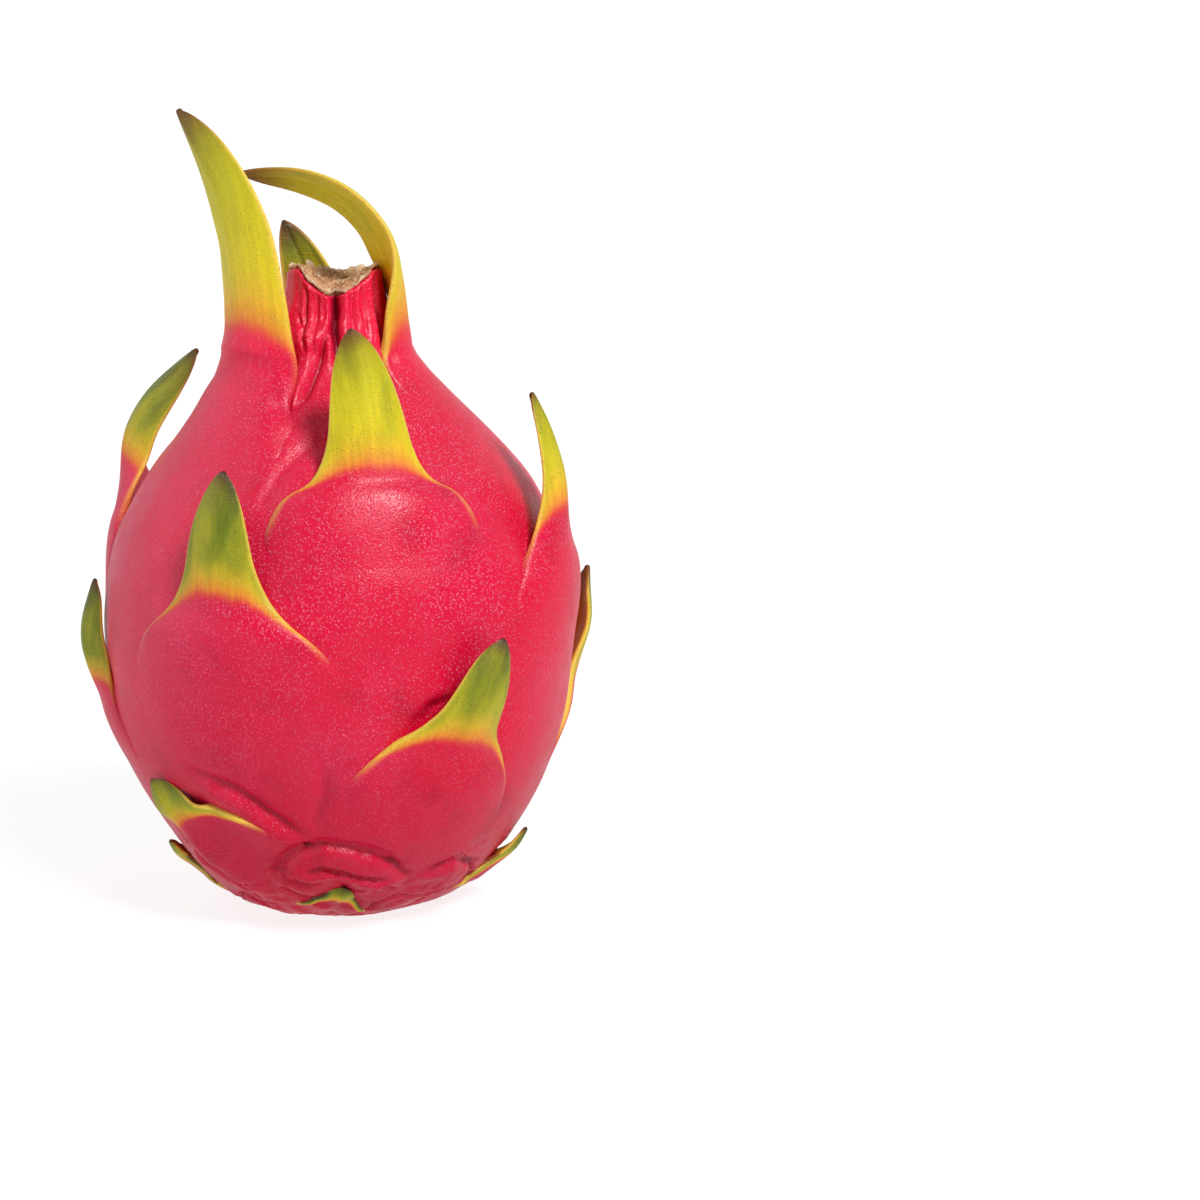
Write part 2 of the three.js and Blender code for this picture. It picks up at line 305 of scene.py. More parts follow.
CREASES = (
    # The cleft down the front of the neck, and the folds to its left.
    Crease(((-85, 127), (-85, 121), (-87, 118), (-85, 114), (-84, 106)), 2.7, 0.75),
    Crease(((-112, 98), (-104, 103), (-102, 106), (-99, 110.5), (-94, 115), (-88, 119)), 1.1, 0.7, 1.1, 2.2),
    Crease(((-106, 91), (-109, 98), (-113, 104), (-118, 108), (-121, 111)), 1.3, 0.6, 0.8, 2.0),
    Crease(((-122, 124), (-118, 118), (-115, 114), (-110, 110)), 0.8, 0.4),
    Crease(((-130, 119), (-120, 116), (-113, 112)), 0.6, 0.4),
    Crease(((-106, 124), (-106, 116), (-105, 112), (-105, 106)), 0.5, 0.4),
    Crease(((-97, 124), (-99, 118)), 0.4, 0.4),
    # To its right.
    Crease(((-66, 124), (-66, 117), (-69, 110)), 0.45, 0.5),
    Crease(((-52, 124), (-52, 118), (-56, 112)), 0.5, 0.5),
    Crease(((-41, 105), (-38, 111), (-33, 116), (-28, 124)), 1.1, 0.7, 0.5, 2.0),
    # Round the back of the neck.
    Crease(((6, 124), (3, 115), (0, 106)), 0.9, 0.7, 0.5, 2.0),
    Crease(((40, 127), (42, 117), (38, 106), (36, 97)), 1.6, 0.8, 0.5, 2.5),
    Crease(((75, 124), (70, 116), (72, 108)), 0.8, 0.6),
    Crease(((105, 124), (100, 116)), 0.6, 0.5),
    Crease(((142, 126), (144, 117), (150, 108), (153, 99)), 1.4, 0.8, 0.6, 2.5),
    Crease(((166, 124), (168, 119)), 0.5, 0.6),
    # From the edges of the bracts down the shoulder.
    Crease(((-103, 81), (-106, 86), (-103, 91), (-97, 95), (-88, 97)), 0.45, 1.5, 0.3, 4.0),
    Crease(((-52, 83), (-60, 87.5), (-71, 89), (-84, 87.5)), 0.4, 1.5, 0.5, 7.0),
    Crease(((-69, 44), (-63, 48.5), (-57, 50)), 0.6, 1.2, 0.8, 3.0),
    Crease(((-88, 40), (-90, 33), (-91, 28), (-94, 21.5)), 0.7, 1.6, 0.8, 7.0),
    # Where the rind is drawn together at the stem end.
    Crease(((-95, 21.5), (-99, 24), (-104, 27), (-112, 31), (-121, 33.6), (-134, 36)), 0.8, 1.3, 1.3, 3.5),
    Crease(
        path=(
            (-58, 6),
            (-65, 13),
            (-74, 18.5),
            (-82, 20.7),
            (-91, 21.6),
            (-99, 20),
            (-105, 16.5),
            (-110, 12.5),
            (-118, 5),
        ),
        depth=1.5,
        width=0.9,
        bulge=1.6,
        reach=4.5,
    ),
    Crease(((-113, 15.4), (-106, 14.6), (-98, 13.2), (-90, 12.4)), 1.0, 0.5, 0.6, 1.6),
    Crease(((-86, 9.4), (-79, 10.8), (-71, 11), (-65, 8.6)), 0.9, 0.5, 0.5, 1.6),
    Crease(((-68, 12), (-77, 13.8), (-84, 15.3), (-92, 16.5), (-99, 15.4)), 1.5, 0.6, 0.7, 1.8),
    Crease(((-113, 12.4), (-105, 10.7), (-95, 8.2)), 1.2, 0.55, 0.8, 1.8),
    Crease(((-152, 18), (-140, 18), (-134, 17), (-129, 13.5), (-124, 9.5), (-119, 5)), 1.7, 0.8, 1.4, 3.0),
    Crease(((-26, 6), (-36, 12), (-48, 15), (-60, 12)), 1.1, 0.9, 1.2, 4.0),
    Crease(((44, 7), (34, 14), (18, 17), (4, 13)), 1.2, 0.9, 1.4, 4.0),
    Crease(((38, 8), (26, 11), (14, 10)), 0.8, 0.6, 0.6, 2.0),
    Crease(((74, 9), (62, 14), (50, 12)), 0.9, 0.8, 0.8, 3.0),
    Crease(((142, 8), (130, 15), (114, 16), (100, 8)), 1.3, 0.9, 1.4, 4.0),
    Crease(((182, 18), (168, 15), (154, 8)), 1.0, 0.9, 1.0, 3.0),
)


@dataclass
class Rind:
    """The fruit's skin as a surface: an azimuth and a distance up the outline give a place on it.

    The belly's radius and the height of the neck's rim come from the frame's body.

    Attributes:
        belly_height: Where the fruit is widest.
        rest_radius: Radius of the flat spot that it stands on.
        neck_length: How far the neck rises over the shoulder.
        neck_foot_radius: Radius where the neck leaves the shoulder.
        neck_radius: Radius of the neck's rim.
        swellings: The soft rises and dips of the rind.
    """

    belly_height: float = 57.0
    rest_radius: float = 15.0
    neck_length: float = 13.0
    neck_foot_radius: float = 12.2
    neck_radius: float = 8.9
    swellings: list[Swelling] = field(default_factory=list)

    # How full the outline's curves are, as shares of the width or the height that each one spans.
    REST_HANDLE = 0.4
    BELLY_HANDLE = 0.44
    SHOULDER_HANDLE = 0.62
    NECK_HANDLE = 0.84
    NECK_FOOT_HANDLE = 0.2
    NECK_RIM_HANDLE = 0.5
    CURVE_STEPS = 400
    # The neck's rim: the notch in front, the lobes beside it, the dip at the back and the waves.
    NOTCH_AZIMUTH = -85.0
    NOTCH_DEPTH = 4.4
    NOTCH_REACH = 7.6
    NOTCH_FILL = 1.1
    NOTCH_ROUNDING = 0.004
    LOBE_RISE = 0.6
    LOBE_GAP = 1.0
    LOBE_REACH = 3.6
    BACK_AZIMUTH = 80.0
    BACK_DROP = 1.7
    BACK_REACH = 7.0
    RIM_WAVES = 5
    RIM_WAVE_HEIGHT = 0.3
    RIM_WAVE_TURN = 1.9
    RIM_DROP_FROM = 2.0
    # The rise of the shoulder behind the tall bract.
    NECK_RISE = 3.5
    NECK_RISE_AZIMUTH = 182.0
    NECK_RISE_HEIGHT = 105.0
    NECK_RISE_REACH = (13.0, 8.0)
    # Noise, each layer as (height, size of its lumps, seed).
    UNEVEN = ((0.9, 34.0, 3.1), (0.35, 13.0, 7.7))
    NECK_RIBS = ((0.35, 2.6, 1.3), (0.22, 1.1, 5.9))
    FOOT_LUMPS = ((0.6, 6.0, 2.2),)
    SWAY = ((0.9, 7.0, 11.0), (0.35, 2.4, 12.0))
    ROCK = ((0.9, 7.0, 13.0), (0.35, 2.4, 14.0))
    # How noise is squeezed along (x, y, z): long ribs up the neck, flat lumps and knots at the foot.
    LONG = np.array([1.0, 1.0, 0.14])
    FLAT = np.array([1.0, 1.0, 2.2])
    KNOTTED = np.array([1.0, 1.0, 1.7])
    # Thin knots and wrinkles that run all over the foot.
    KNOT_DEPTH = 0.7
    KNOT_PITCH = 9.0
    KNOT_WIDTH = 0.08
    KNOT_SEED = 21.0
    WRINKLE_DEPTH = 0.3
    WRINKLE_PITCH = 4.0
    WRINKLE_WIDTH = 0.1
    WRINKLE_SEED = 23.0
    # Where reliefs come in or die away: heights above the ground, or depths below the shoulder.
    FOOT_FOLDS = (2.0, 22.0)
    FOOT_UNEVEN = (3.0, 24.0)
    FLAT_SPOT_END = 2.5
    NECK_UNEVEN_BELOW = 16.0
    CALM_BELOW = (22.0, 6.0)
    CALM = 0.85
    # A crease's ends, and the low rims along it.
    FADE = 0.3
    RIM_SHARE = 0.15
    RIM_PLACE = 2.2
    OPEN_END = 2.0

    def __post_init__(self) -> None:
        """Take the driving sizes from the frame and work out the outline."""
        low, high = (np.array(corner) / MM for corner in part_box("fruit_body"))
        self.belly_radius = (high[0] - low[0]) / 2
        self.neck_top = high[2]
        self.shoulder = self.neck_top - self.neck_length
        self.outline = self._outline()
        steps = np.linalg.norm(np.diff(self.outline, axis=0), axis=1)
        self.arcs = np.concatenate([[0.0], np.cumsum(steps)])
        along = np.gradient(self.outline, self.arcs, axis=0)
        along /= np.linalg.norm(along, axis=1)[:, None]
        self.outwards = np.column_stack([along[:, 1], -along[:, 0]])
        azimuth = math.radians(self.NECK_RISE_AZIMUTH)
        arc = float(self.arc_at(self.NECK_RISE_HEIGHT))
        self.swellings.append(Swelling(azimuth, arc, *self.NECK_RISE_REACH, self.NECK_RISE, "neck"))

    def _outline(self) -> Array:
        """Draw the outline from the flat spot's edge, over the belly, to the neck's rim.

        Returns:
            Its (radius, height) rows.
        """
        upper = self.shoulder - self.belly_height
        belly = (self.belly_radius, self.belly_height)
        neck_foot = (self.neck_foot_radius, self.shoulder)
        base = [
            (self.rest_radius, 0.0),
            (mix(self.rest_radius, self.belly_radius, self.REST_HANDLE), 0.0),
            (self.belly_radius, self.belly_height * self.BELLY_HANDLE),
            belly,
        ]
        shoulder = [
            belly,
            (self.belly_radius, self.belly_height + upper * self.SHOULDER_HANDLE),
            (self.neck_foot_radius, self.belly_height + upper * self.NECK_HANDLE),
            neck_foot,
        ]
        neck = [
            neck_foot,
            (self.neck_foot_radius, self.shoulder + self.neck_length * self.NECK_FOOT_HANDLE),
            (self.neck_radius, self.shoulder + self.neck_length * self.NECK_RIM_HANDLE),
            (self.neck_radius, self.neck_top),
        ]
        curves = [bezier(points, self.CURVE_STEPS) for points in (base, shoulder, neck)]
        return np.vstack([[(self.rest_radius, 0.0)], *curves])

    def arc_at(self, height: Number) -> Number:
        """Return how far up the outline a height is."""
        return np.interp(height, self.outline[:, 1], self.arcs)

    def radius_at(self, arc: Number) -> Number:
        """Return the outline's radius at a distance along it."""
        return np.interp(arc, self.arcs, self.outline[:, 0])

    def height_at(self, arc: Number) -> Number:
        """Return the outline's height at a distance along it."""
        return np.interp(arc, self.arcs, self.outline[:, 1])

    def lean_at(self, arc: float) -> float:
        """Find how far the outline leans.

        Args:
            arc: The place along the outline.

        Returns:
            The lean out from upright, in radians.
        """
        out = np.interp(arc, self.arcs, self.outwards[:, 0])
        up = np.interp(arc, self.arcs, self.outwards[:, 1])
        return math.atan2(-up, out)

    def _run_in(self, end: Pair, progress: Array) -> Number:
        """Return how far a crease has come in from an end, which is open where it meets the neck's rim."""
        return 1.0 if end[1] > self.neck_top - self.OPEN_END else smooth(progress, 0.0, self.FADE)

    def _crease(self, crease: Crease, azimuth: Array, arc: Array, radius: Array) -> Array:
        """Return how far a crease draws the rind in at each place.

        Args:
            crease: The crease.
            azimuth: Places round the fruit, in radians.
            arc: Places along the outline.
            radius: The outline's radius there.

        Returns:
            The crease's share of the relief, below zero in its groove and above zero on its rims.
        """
        round_path = np.radians([point[0] for point in crease.path])
        arc_path = self.arc_at(np.array([point[1] for point in crease.path]))
        nearest = np.full(azimuth.shape, np.inf)
        progress = np.zeros(azimuth.shape)
        side = np.ones(azimuth.shape)
        spans = len(crease.path) - 1
        for i in range(spans):
            across = turn_between(azimuth, round_path[i]) * radius
            along = arc - arc_path[i]
            span_radius = self.radius_at((arc_path[i] + arc_path[i + 1]) / 2)
            span_round = (round_path[i + 1] - round_path[i]) * span_radius
            span = np.array([span_round, arc_path[i + 1] - arc_path[i]])
            share = np.clip((across * span[0] + along * span[1]) / (span @ span), 0.0, 1.0)
            distance = np.hypot(across - share * span[0], along - share * span[1])
            closer = distance < nearest
            nearest[closer] = distance[closer]
            progress[closer] = ((i + share) / spans)[closer]
            side[closer] = np.sign(span[0] * along - span[1] * across)[closer]
        run_in = self._run_in(crease.path[0], progress)
        run_out = self._run_in(crease.path[-1], 1 - progress)
        share_in = np.maximum(nearest * side, 0.0) / crease.reach
        groove = -crease.depth * hill(nearest, crease.width)
        rims = self.RIM_SHARE * crease.depth * hill(nearest - self.RIM_PLACE * crease.width, crease.width)
        over = crease.bulge * share_in * np.exp((1 - share_in**2) / 2)
        return run_in * run_out * (groove + rims + over)

    def folds(self, azimuth: Array, arc: Array) -> Array:
        """Return how far the creases draw the rind in or push it out.

        Args:
            azimuth: Places round the fruit, in radians.
            arc: Places along the outline.

        Returns:
            The creases' share of the relief at each place, in millimetres.
        """
        radius = self.radius_at(arc)
        height = self.height_at(arc)
        places = round_axis(azimuth, radius, height)
        calm_from, calm_to = (self.shoulder - depth for depth in self.CALM_BELOW)
        wander = 1.0 - self.CALM * smooth(height, calm_from, calm_to)
        azimuth = azimuth + wander * layered(places, self.SWAY) / radius
        arc = arc + wander * layered(places, self.ROCK)
        total = np.zeros(azimuth.shape)
        for crease in CREASES:
            total += self._crease(crease, azimuth, arc, radius)
        foot_share = 1.0 - smooth(height, *self.FOOT_FOLDS)
        knots = hill(grain(places * self.KNOTTED, self.KNOT_PITCH, self.KNOT_SEED), self.KNOT_WIDTH)
        wrinkles = hill(grain(places * self.FLAT, self.WRINKLE_PITCH, self.WRINKLE_SEED), self.WRINKLE_WIDTH)
        return total - foot_share * (self.KNOT_DEPTH * knots + self.WRINKLE_DEPTH * wrinkles)

    def relief(self, azimuth: Array, arc: Array, without: str = "") -> Array:
        """Return how far the rind stands out from the turned outline.

        Args:
            azimuth: Places round the fruit, in radians.
            arc: Places along the outline.
            without: A bract whose own dip is left out, so that its edge stays above it.

        Returns:
            The relief at each place, in millimetres.
        """
        radius = self.radius_at(arc)
        height = self.height_at(arc)
        total = self.folds(azimuth, arc)
        for swelling in self.swellings:
            if swelling.rise < 0 and swelling.owner == without:
                continue
            across = turn_between(azimuth, swelling.azimuth) * radius
            along = arc - swelling.arc
            total += swelling.rise * hill(across, swelling.half_width) * hill(along, swelling.half_length)
        places = round_axis(azimuth, radius, height)
        neck_share = smooth(height, self.shoulder - self.NECK_UNEVEN_BELOW, self.neck_top)
        foot_share = 1.0 - smooth(height, *self.FOOT_UNEVEN)
        total += layered(places, self.UNEVEN)
        total += neck_share * layered(places * self.LONG, self.NECK_RIBS)
        total += foot_share * layered(places * self.FLAT, self.FOOT_LUMPS)
        return total * smooth(height, 0.0, self.FLAT_SPOT_END)

    def rim_drop(self, azimuth: Array) -> Array:
        """Return how far the neck's rim lies below its level.

        Args:
            azimuth: Places round the neck, in radians.

        Returns:
            The drop at each place: deepest in the notch, and below zero on the lobes beside it.
        """
        off = np.abs(turn_between(azimuth, math.radians(self.NOTCH_AZIMUTH))) * self.neck_radius
        behind = turn_between(azimuth, math.radians(self.BACK_AZIMUTH)) * self.neck_radius
        slope = np.sqrt((off / self.NOTCH_REACH) ** 2 + self.NOTCH_ROUNDING)
        notch = self.NOTCH_DEPTH * np.clip(self.NOTCH_FILL - slope, 0.0, 1.0)
        lobes = self.LOBE_RISE * hill(off - self.NOTCH_REACH - self.LOBE_GAP, self.LOBE_REACH)
        back = self.BACK_DROP * hill(behind, self.BACK_REACH)
        waves = self.RIM_WAVE_HEIGHT * np.sin(self.RIM_WAVES * azimuth + self.RIM_WAVE_TURN)
        return notch - lobes + back - waves

    def place(self, azimuth: Array, arc: Array, lift: Number, without: str = "") -> Array:
        """Return places on the rind or above it.

        Args:
            azimuth: Places round the fruit, in radians.
            arc: Places along the outline.
            lift: How far above the rind they are.
            without: As for relief.

        Returns:
            One (x, y, z) a row, in millimetres.
        """
        stand = self.relief(azimuth, arc, without) + lift
        out = np.interp(arc, self.arcs, self.outwards[:, 0])
        up = np.interp(arc, self.arcs, self.outwards[:, 1])
        radius = self.radius_at(arc) + out * stand
        height = self.height_at(arc) + up * stand
        near_rim = smooth(height, self.shoulder - self.RIM_DROP_FROM, self.neck_top)
        height = height - self.rim_drop(azimuth) * near_rim
        return round_axis(azimuth, radius, np.maximum(height, 0.0))


# ---- Finishes ----


class Wiring:
    """A material's nodes, added and linked in one call each."""

    def __init__(self, name: str) -> None:
        """Start a material with its shader and its output.

        Args:
            name: The material's name.
        """
        self.material = bpy.data.materials.new(name)
        self.material.use_nodes = True
        self.tree = self.material.node_tree
        self.tree.nodes.clear()
        self.shader = self.tree.nodes.new("ShaderNodeBsdfPrincipled")
        output = self.tree.nodes.new("ShaderNodeOutputMaterial")
        self.tree.links.new(self.shader.outputs["BSDF"], output.inputs["Surface"])

    def node(self, kind: str, inputs: dict | None = None, **settings: object) -> bpy.types.Node:
        """Add a node.

        Args:
            kind: Its type, without the ShaderNode that all of them start with.
            inputs: What goes in each input: a socket to link, or a value to set.
            **settings: The node's own settings.

        Returns:
            The new node.
        """
        node = self.tree.nodes.new("ShaderNode" + kind)
        for name, value in settings.items():
            setattr(node, name, value)
        for key, value in (inputs or {}).items():
            if isinstance(value, Socket):
                self.tree.links.new(value, node.inputs[key])
            else:
                node.inputs[key].default_value = value
        return node

    def object_places(self) -> Socket:
        """Return the place on the piece, in metres."""
        return self.node("TexCoord").outputs["Object"]

    def reading(self, name: str) -> Socket:
        """Return the number that is stored at the piece's points under a name."""
        return self.node("Attribute", attribute_name=name).outputs["Fac"]

    def scaled(self, places: Socket, scale: Triple) -> Socket:
        """Return places stretched along each axis."""
        return self.node("Mapping", {"Vector": places, "Scale": scale}).outputs["Vector"]

    def grain(self, places: Socket, size: float, detail: float = 2.0) -> Socket:
        """Return noise with lumps of a size in millimetres."""
        inputs = {"Vector": places, "Scale": 1 / (size * MM), "Detail": detail}
        return self.node("TexNoise", inputs).outputs["Fac"]

    def sum(self, kind: str, first: object, second: object = 0.0, third: object = 0.0) -> Socket:
        """Return a Math node's value, for a kind of sum and its numbers or sockets."""
        return self.node("Math", {0: first, 1: second, 2: third}, operation=kind).outputs[0]

    def eased(self, value: Socket, start: float, end: float, low: float = 0.0, high: float = 1.0) -> Socket:
        """Return a value eased from low at start to high at end."""
        inputs = {"Value": value, "From Min": start, "From Max": end, "To Min": low, "To Max": high}
        return self.node("MapRange", inputs, interpolation_type="SMOOTHSTEP").outputs["Result"]

    def clamped(self, value: Socket) -> Socket:
        """Return a value kept between 0 and 1."""
        return self.node("Clamp", {"Value": value}).outputs[0]

    def blend(self, share: object, low: object, high: object, kind: str = "MIX") -> Socket:
        """Return a colour that is mixed from two by a share."""
        inputs = {0: share, 6: low, 7: high}
        return self.node("Mix", inputs, data_type="RGBA", blend_type=kind).outputs[2]

    def ramp(self, value: Socket, stops: Stops) -> Socket:
        """Read a colour off a ramp.

        Args:
            value: Where on the ramp it is read, from 0 to 1.
            stops: The ramp's (place, colour) stops.

        Returns:
            The colour there.
        """
        node = self.node("ValToRGB", {"Fac": value})
        elements = node.color_ramp.elements
        while len(elements) < len(stops):
            elements.new(1.0)
        for element, (place, colour) in zip(elements, stops):
            element.position = place
            element.color = colour
        return node.outputs["Color"]

    def bump(self, height: Socket, depth: float, under: Socket | None = None) -> Socket:
        """Tip the normal by a field of heights.

        Args:
            height: The field, from 0 to 1.
            depth: How deep it is, in millimetres.
            under: The normal that it is laid over.

        Returns:
            The tipped normal.
        """
        inputs = {"Height": height, "Distance": depth * MM, "Strength": 1.0}
        if under:
            inputs["Normal"] = under
        return self.node("Bump", inputs).outputs["Normal"]

    def dress(self, constants: dict[str, object], **sockets: Socket) -> Material:
        """Finish the shader.

        Args:
            constants: Values that are the same all over, by the shader's input names.
            **sockets: What is linked to Base_Color, Roughness and Normal.

        Returns:
            The finished material.
        """
        for name, value in constants.items():
            self.shader.inputs[name].default_value = value
        for name, socket in sockets.items():
            self.tree.links.new(socket, self.shader.inputs[name.replace("_", " ")])
        return self.material


# What the rind and the bracts share, so that a bract's foot doesn't show against the rind.
FLESH: dict[str, object] = {
    "Specular IOR Level": 0.5,
    "Subsurface Weight": 0.12,
    "Subsurface Radius": (1.0, 0.8, 0.2),
    "Subsurface Scale": 1.0 * MM,
}


@dataclass(frozen=True)
class RindFinish:
    """Waxy crimson skin with fine pale speckles.

    Attributes:
        deep: The deep red of the random patches, also painted low down and in the folds as painted shade.
        fresh: The red of most of the belly.
        pink: The red of the pinker clouds, also painted on the left side as painted sheen and higher up as
            painted light.
        speckle: The speckles' colour.
        speckle_pitch: How far apart the speckles are, in millimetres.
        knock: How far a speckle is knocked out of line, in millimetres.
        streak: The pale streaks up the neck.
        neck: The neck's brighter red: partly its own colour, partly painted light where the bracts shade it.
    """

    deep: Colour = paint(112, 0, 18)
    fresh: Colour = paint(222, 0, 56)
    pink: Colour = paint(224, 26, 76)
    speckle: Colour = paint(252, 112, 150)
    speckle_pitch: float = 0.54
    knock: float = 0.7
    streak: Colour = paint(250, 100, 136)
    neck: Colour = paint(248, 10, 66)

    def colour(self, wiring: Wiring) -> tuple[Socket, Socket]:
        """Wire the skin's colour.

        Args:
            wiring: The material that it goes in.

        Returns:
            The colour, and the speckles as a height from 0 to 1.
        """
        places = wiring.object_places()
        apart = wiring.node("SeparateXYZ", {0: places})
        height = apart.outputs["Z"]
        colour = self._ground(wiring, places, apart.outputs["X"], height)
        dots = self._dots(wiring, places)
        showing = wiring.eased(wiring.grain(places, 14.0, 2.0), 0.3, 0.66, 0.32, 0.78)
        # The speckles show less low down, which darkens the foot: painted shade.
        showing = wiring.sum("MULTIPLY", showing, wiring.eased(height, 0.01, 0.07, 0.24, 1.0))
        colour = wiring.blend(wiring.sum("MULTIPLY", dots, showing), colour, self.speckle)
        return self._redden_neck(wiring, places, height, colour), dots

    def _ground(self, wiring: Wiring, places: Socket, across: Socket, height: Socket) -> Socket:
        """Wire the reds under the speckles.

        Args:
            wiring: The material that they go in.
            places: Places on the piece.
            across: Their x.
            height: Their z.

        Returns:
            The colour: pinker in clouds, pinker to the left as painted sheen and higher up as painted
            light, deeper in patches, and deeper low down as painted shade.
        """
        clouds = wiring.eased(wiring.grain(places, 24.0, 3.0), 0.4, 0.68, 0.0, 0.6)
        # Painted sheen: the rind is pinker towards the left side.
        left_sheen = wiring.eased(across, -0.046, 0.004, 0.55, 0.0)
        # Painted light: the rind is pinker higher up.
        top_light = wiring.eased(height, 0.03, 0.1, 0.0, 0.2)
        pinkness_and_sheen = wiring.sum("ADD", wiring.sum("ADD", clouds, left_sheen), top_light)
        colour = wiring.blend(wiring.clamped(pinkness_and_sheen), self.fresh, self.pink)
        patches = wiring.eased(wiring.grain(places, 9.0, 4.0), 0.5, 0.8, 0.0, 0.24)
        # Painted shade: the rind is deeper red low down, near the foot.
        foot_shade = wiring.eased(height, 0.0, 0.056, 0.34, 0.0)
        return wiring.blend(wiring.sum("ADD", patches, foot_shade), colour, self.deep)

    def _dots(self, wiring: Wiring, places: Socket) -> Socket:
        """Wire the speckles: one in each small cell, knocked out of line and of uneven strength.

        Args:
            wiring: The material that they go in.
            places: Places on the piece.

        Returns:
            How much of a speckle there is, from 0 to 1.
        """
        wander = wiring.node("TexNoise", {"Vector": places, "Scale": 1 / (self.knock * MM), "Detail": 1.0})
        by = {0: wander.outputs["Color"], 1: (self.knock * MM,) * 3}
        knocked = wiring.node("VectorMath", by, operation="MULTIPLY").outputs[0]
        shifted = wiring.node("VectorMath", {0: places, 1: knocked}, operation="ADD").outputs[0]
        cells = wiring.node("TexVoronoi", {"Vector": shifted, "Scale": 1 / (self.speckle_pitch * MM)})
        dots = wiring.eased(cells.outputs["Distance"], 0.1, 0.48, 1.0, 0.0)
        chance = wiring.node("SeparateColor", {0: cells.outputs["Color"]}).outputs[0]
        return wiring.sum("MULTIPLY", dots, wiring.eased(chance, 0.0, 1.0, 0.5, 1.0))

    def _redden_neck(self, wiring: Wiring, places: Socket, height: Socket, colour: Socket) -> Socket:
        """Wire the neck's brighter red and the pale streaks that run up it.

        Args:
            wiring: The material that they go in.
            places: Places on the piece.
            height: Their z.
            colour: The colour below the neck.

        Returns:
            The colour over the whole rind.
        """
        on_neck = wiring.eased(height, 0.1, 0.116)
        # The neck's brighter red: partly its own colour, partly painted light where the bracts shade it.
        colour = wiring.blend(wiring.sum("MULTIPLY", on_neck, 0.6), colour, self.neck)
        streaks = wiring.grain(wiring.scaled(places, (1.0, 1.0, 0.09)), 0.6, 3.0)
        streaks = wiring.eased(streaks, 0.54, 0.72, 0.0, 0.6)
        return wiring.blend(wiring.sum("MULTIPLY", streaks, on_neck), colour, self.streak)

    def skin(self, wiring: Wiring, dots: Socket) -> Socket:
        """Wire the skin's normal.

        Args:
            wiring: The material that it goes in.
            dots: The speckles as a height from 0 to 1.

        Returns:
            The normal: the speckles over a fine leathery grain.
        """
        places = wiring.object_places()
        leather = wiring.bump(wiring.grain(places, 0.42, 2.0), 0.08)
        return wiring.bump(dots, 0.1, leather)

    def roughness(self, wiring: Wiring) -> Socket:
        """Return the skin's roughness, which differs a little from place to place."""
        return wiring.eased(wiring.grain(wiring.object_places(), 5.0, 3.0), 0.3, 0.7, 0.31, 0.4)

    def material(self) -> Material:
        """Mix the finish for the body.

        Returns:
            The material, which is painted darker in the creases as painted shade.
        """
        wiring = Wiring("crimson_rind")
        colour, dots = self.colour(wiring)
        fold = wiring.reading("fold")
        # Painted shade: the rind's deep red darkens the creases.
        colour = wiring.blend(wiring.eased(fold, 0.08, 0.8, 0.0, 0.68), colour, self.deep)
        normal = self.skin(wiring, dots)
        return wiring.dress(FLESH, Base_Color=colour, Roughness=self.roughness(wiring), Normal=normal)


class BractSide(Enum):
    """Which face of a bract a finish is for."""

    OUTER = "bract_outer"
    INNER = "bract_inner"


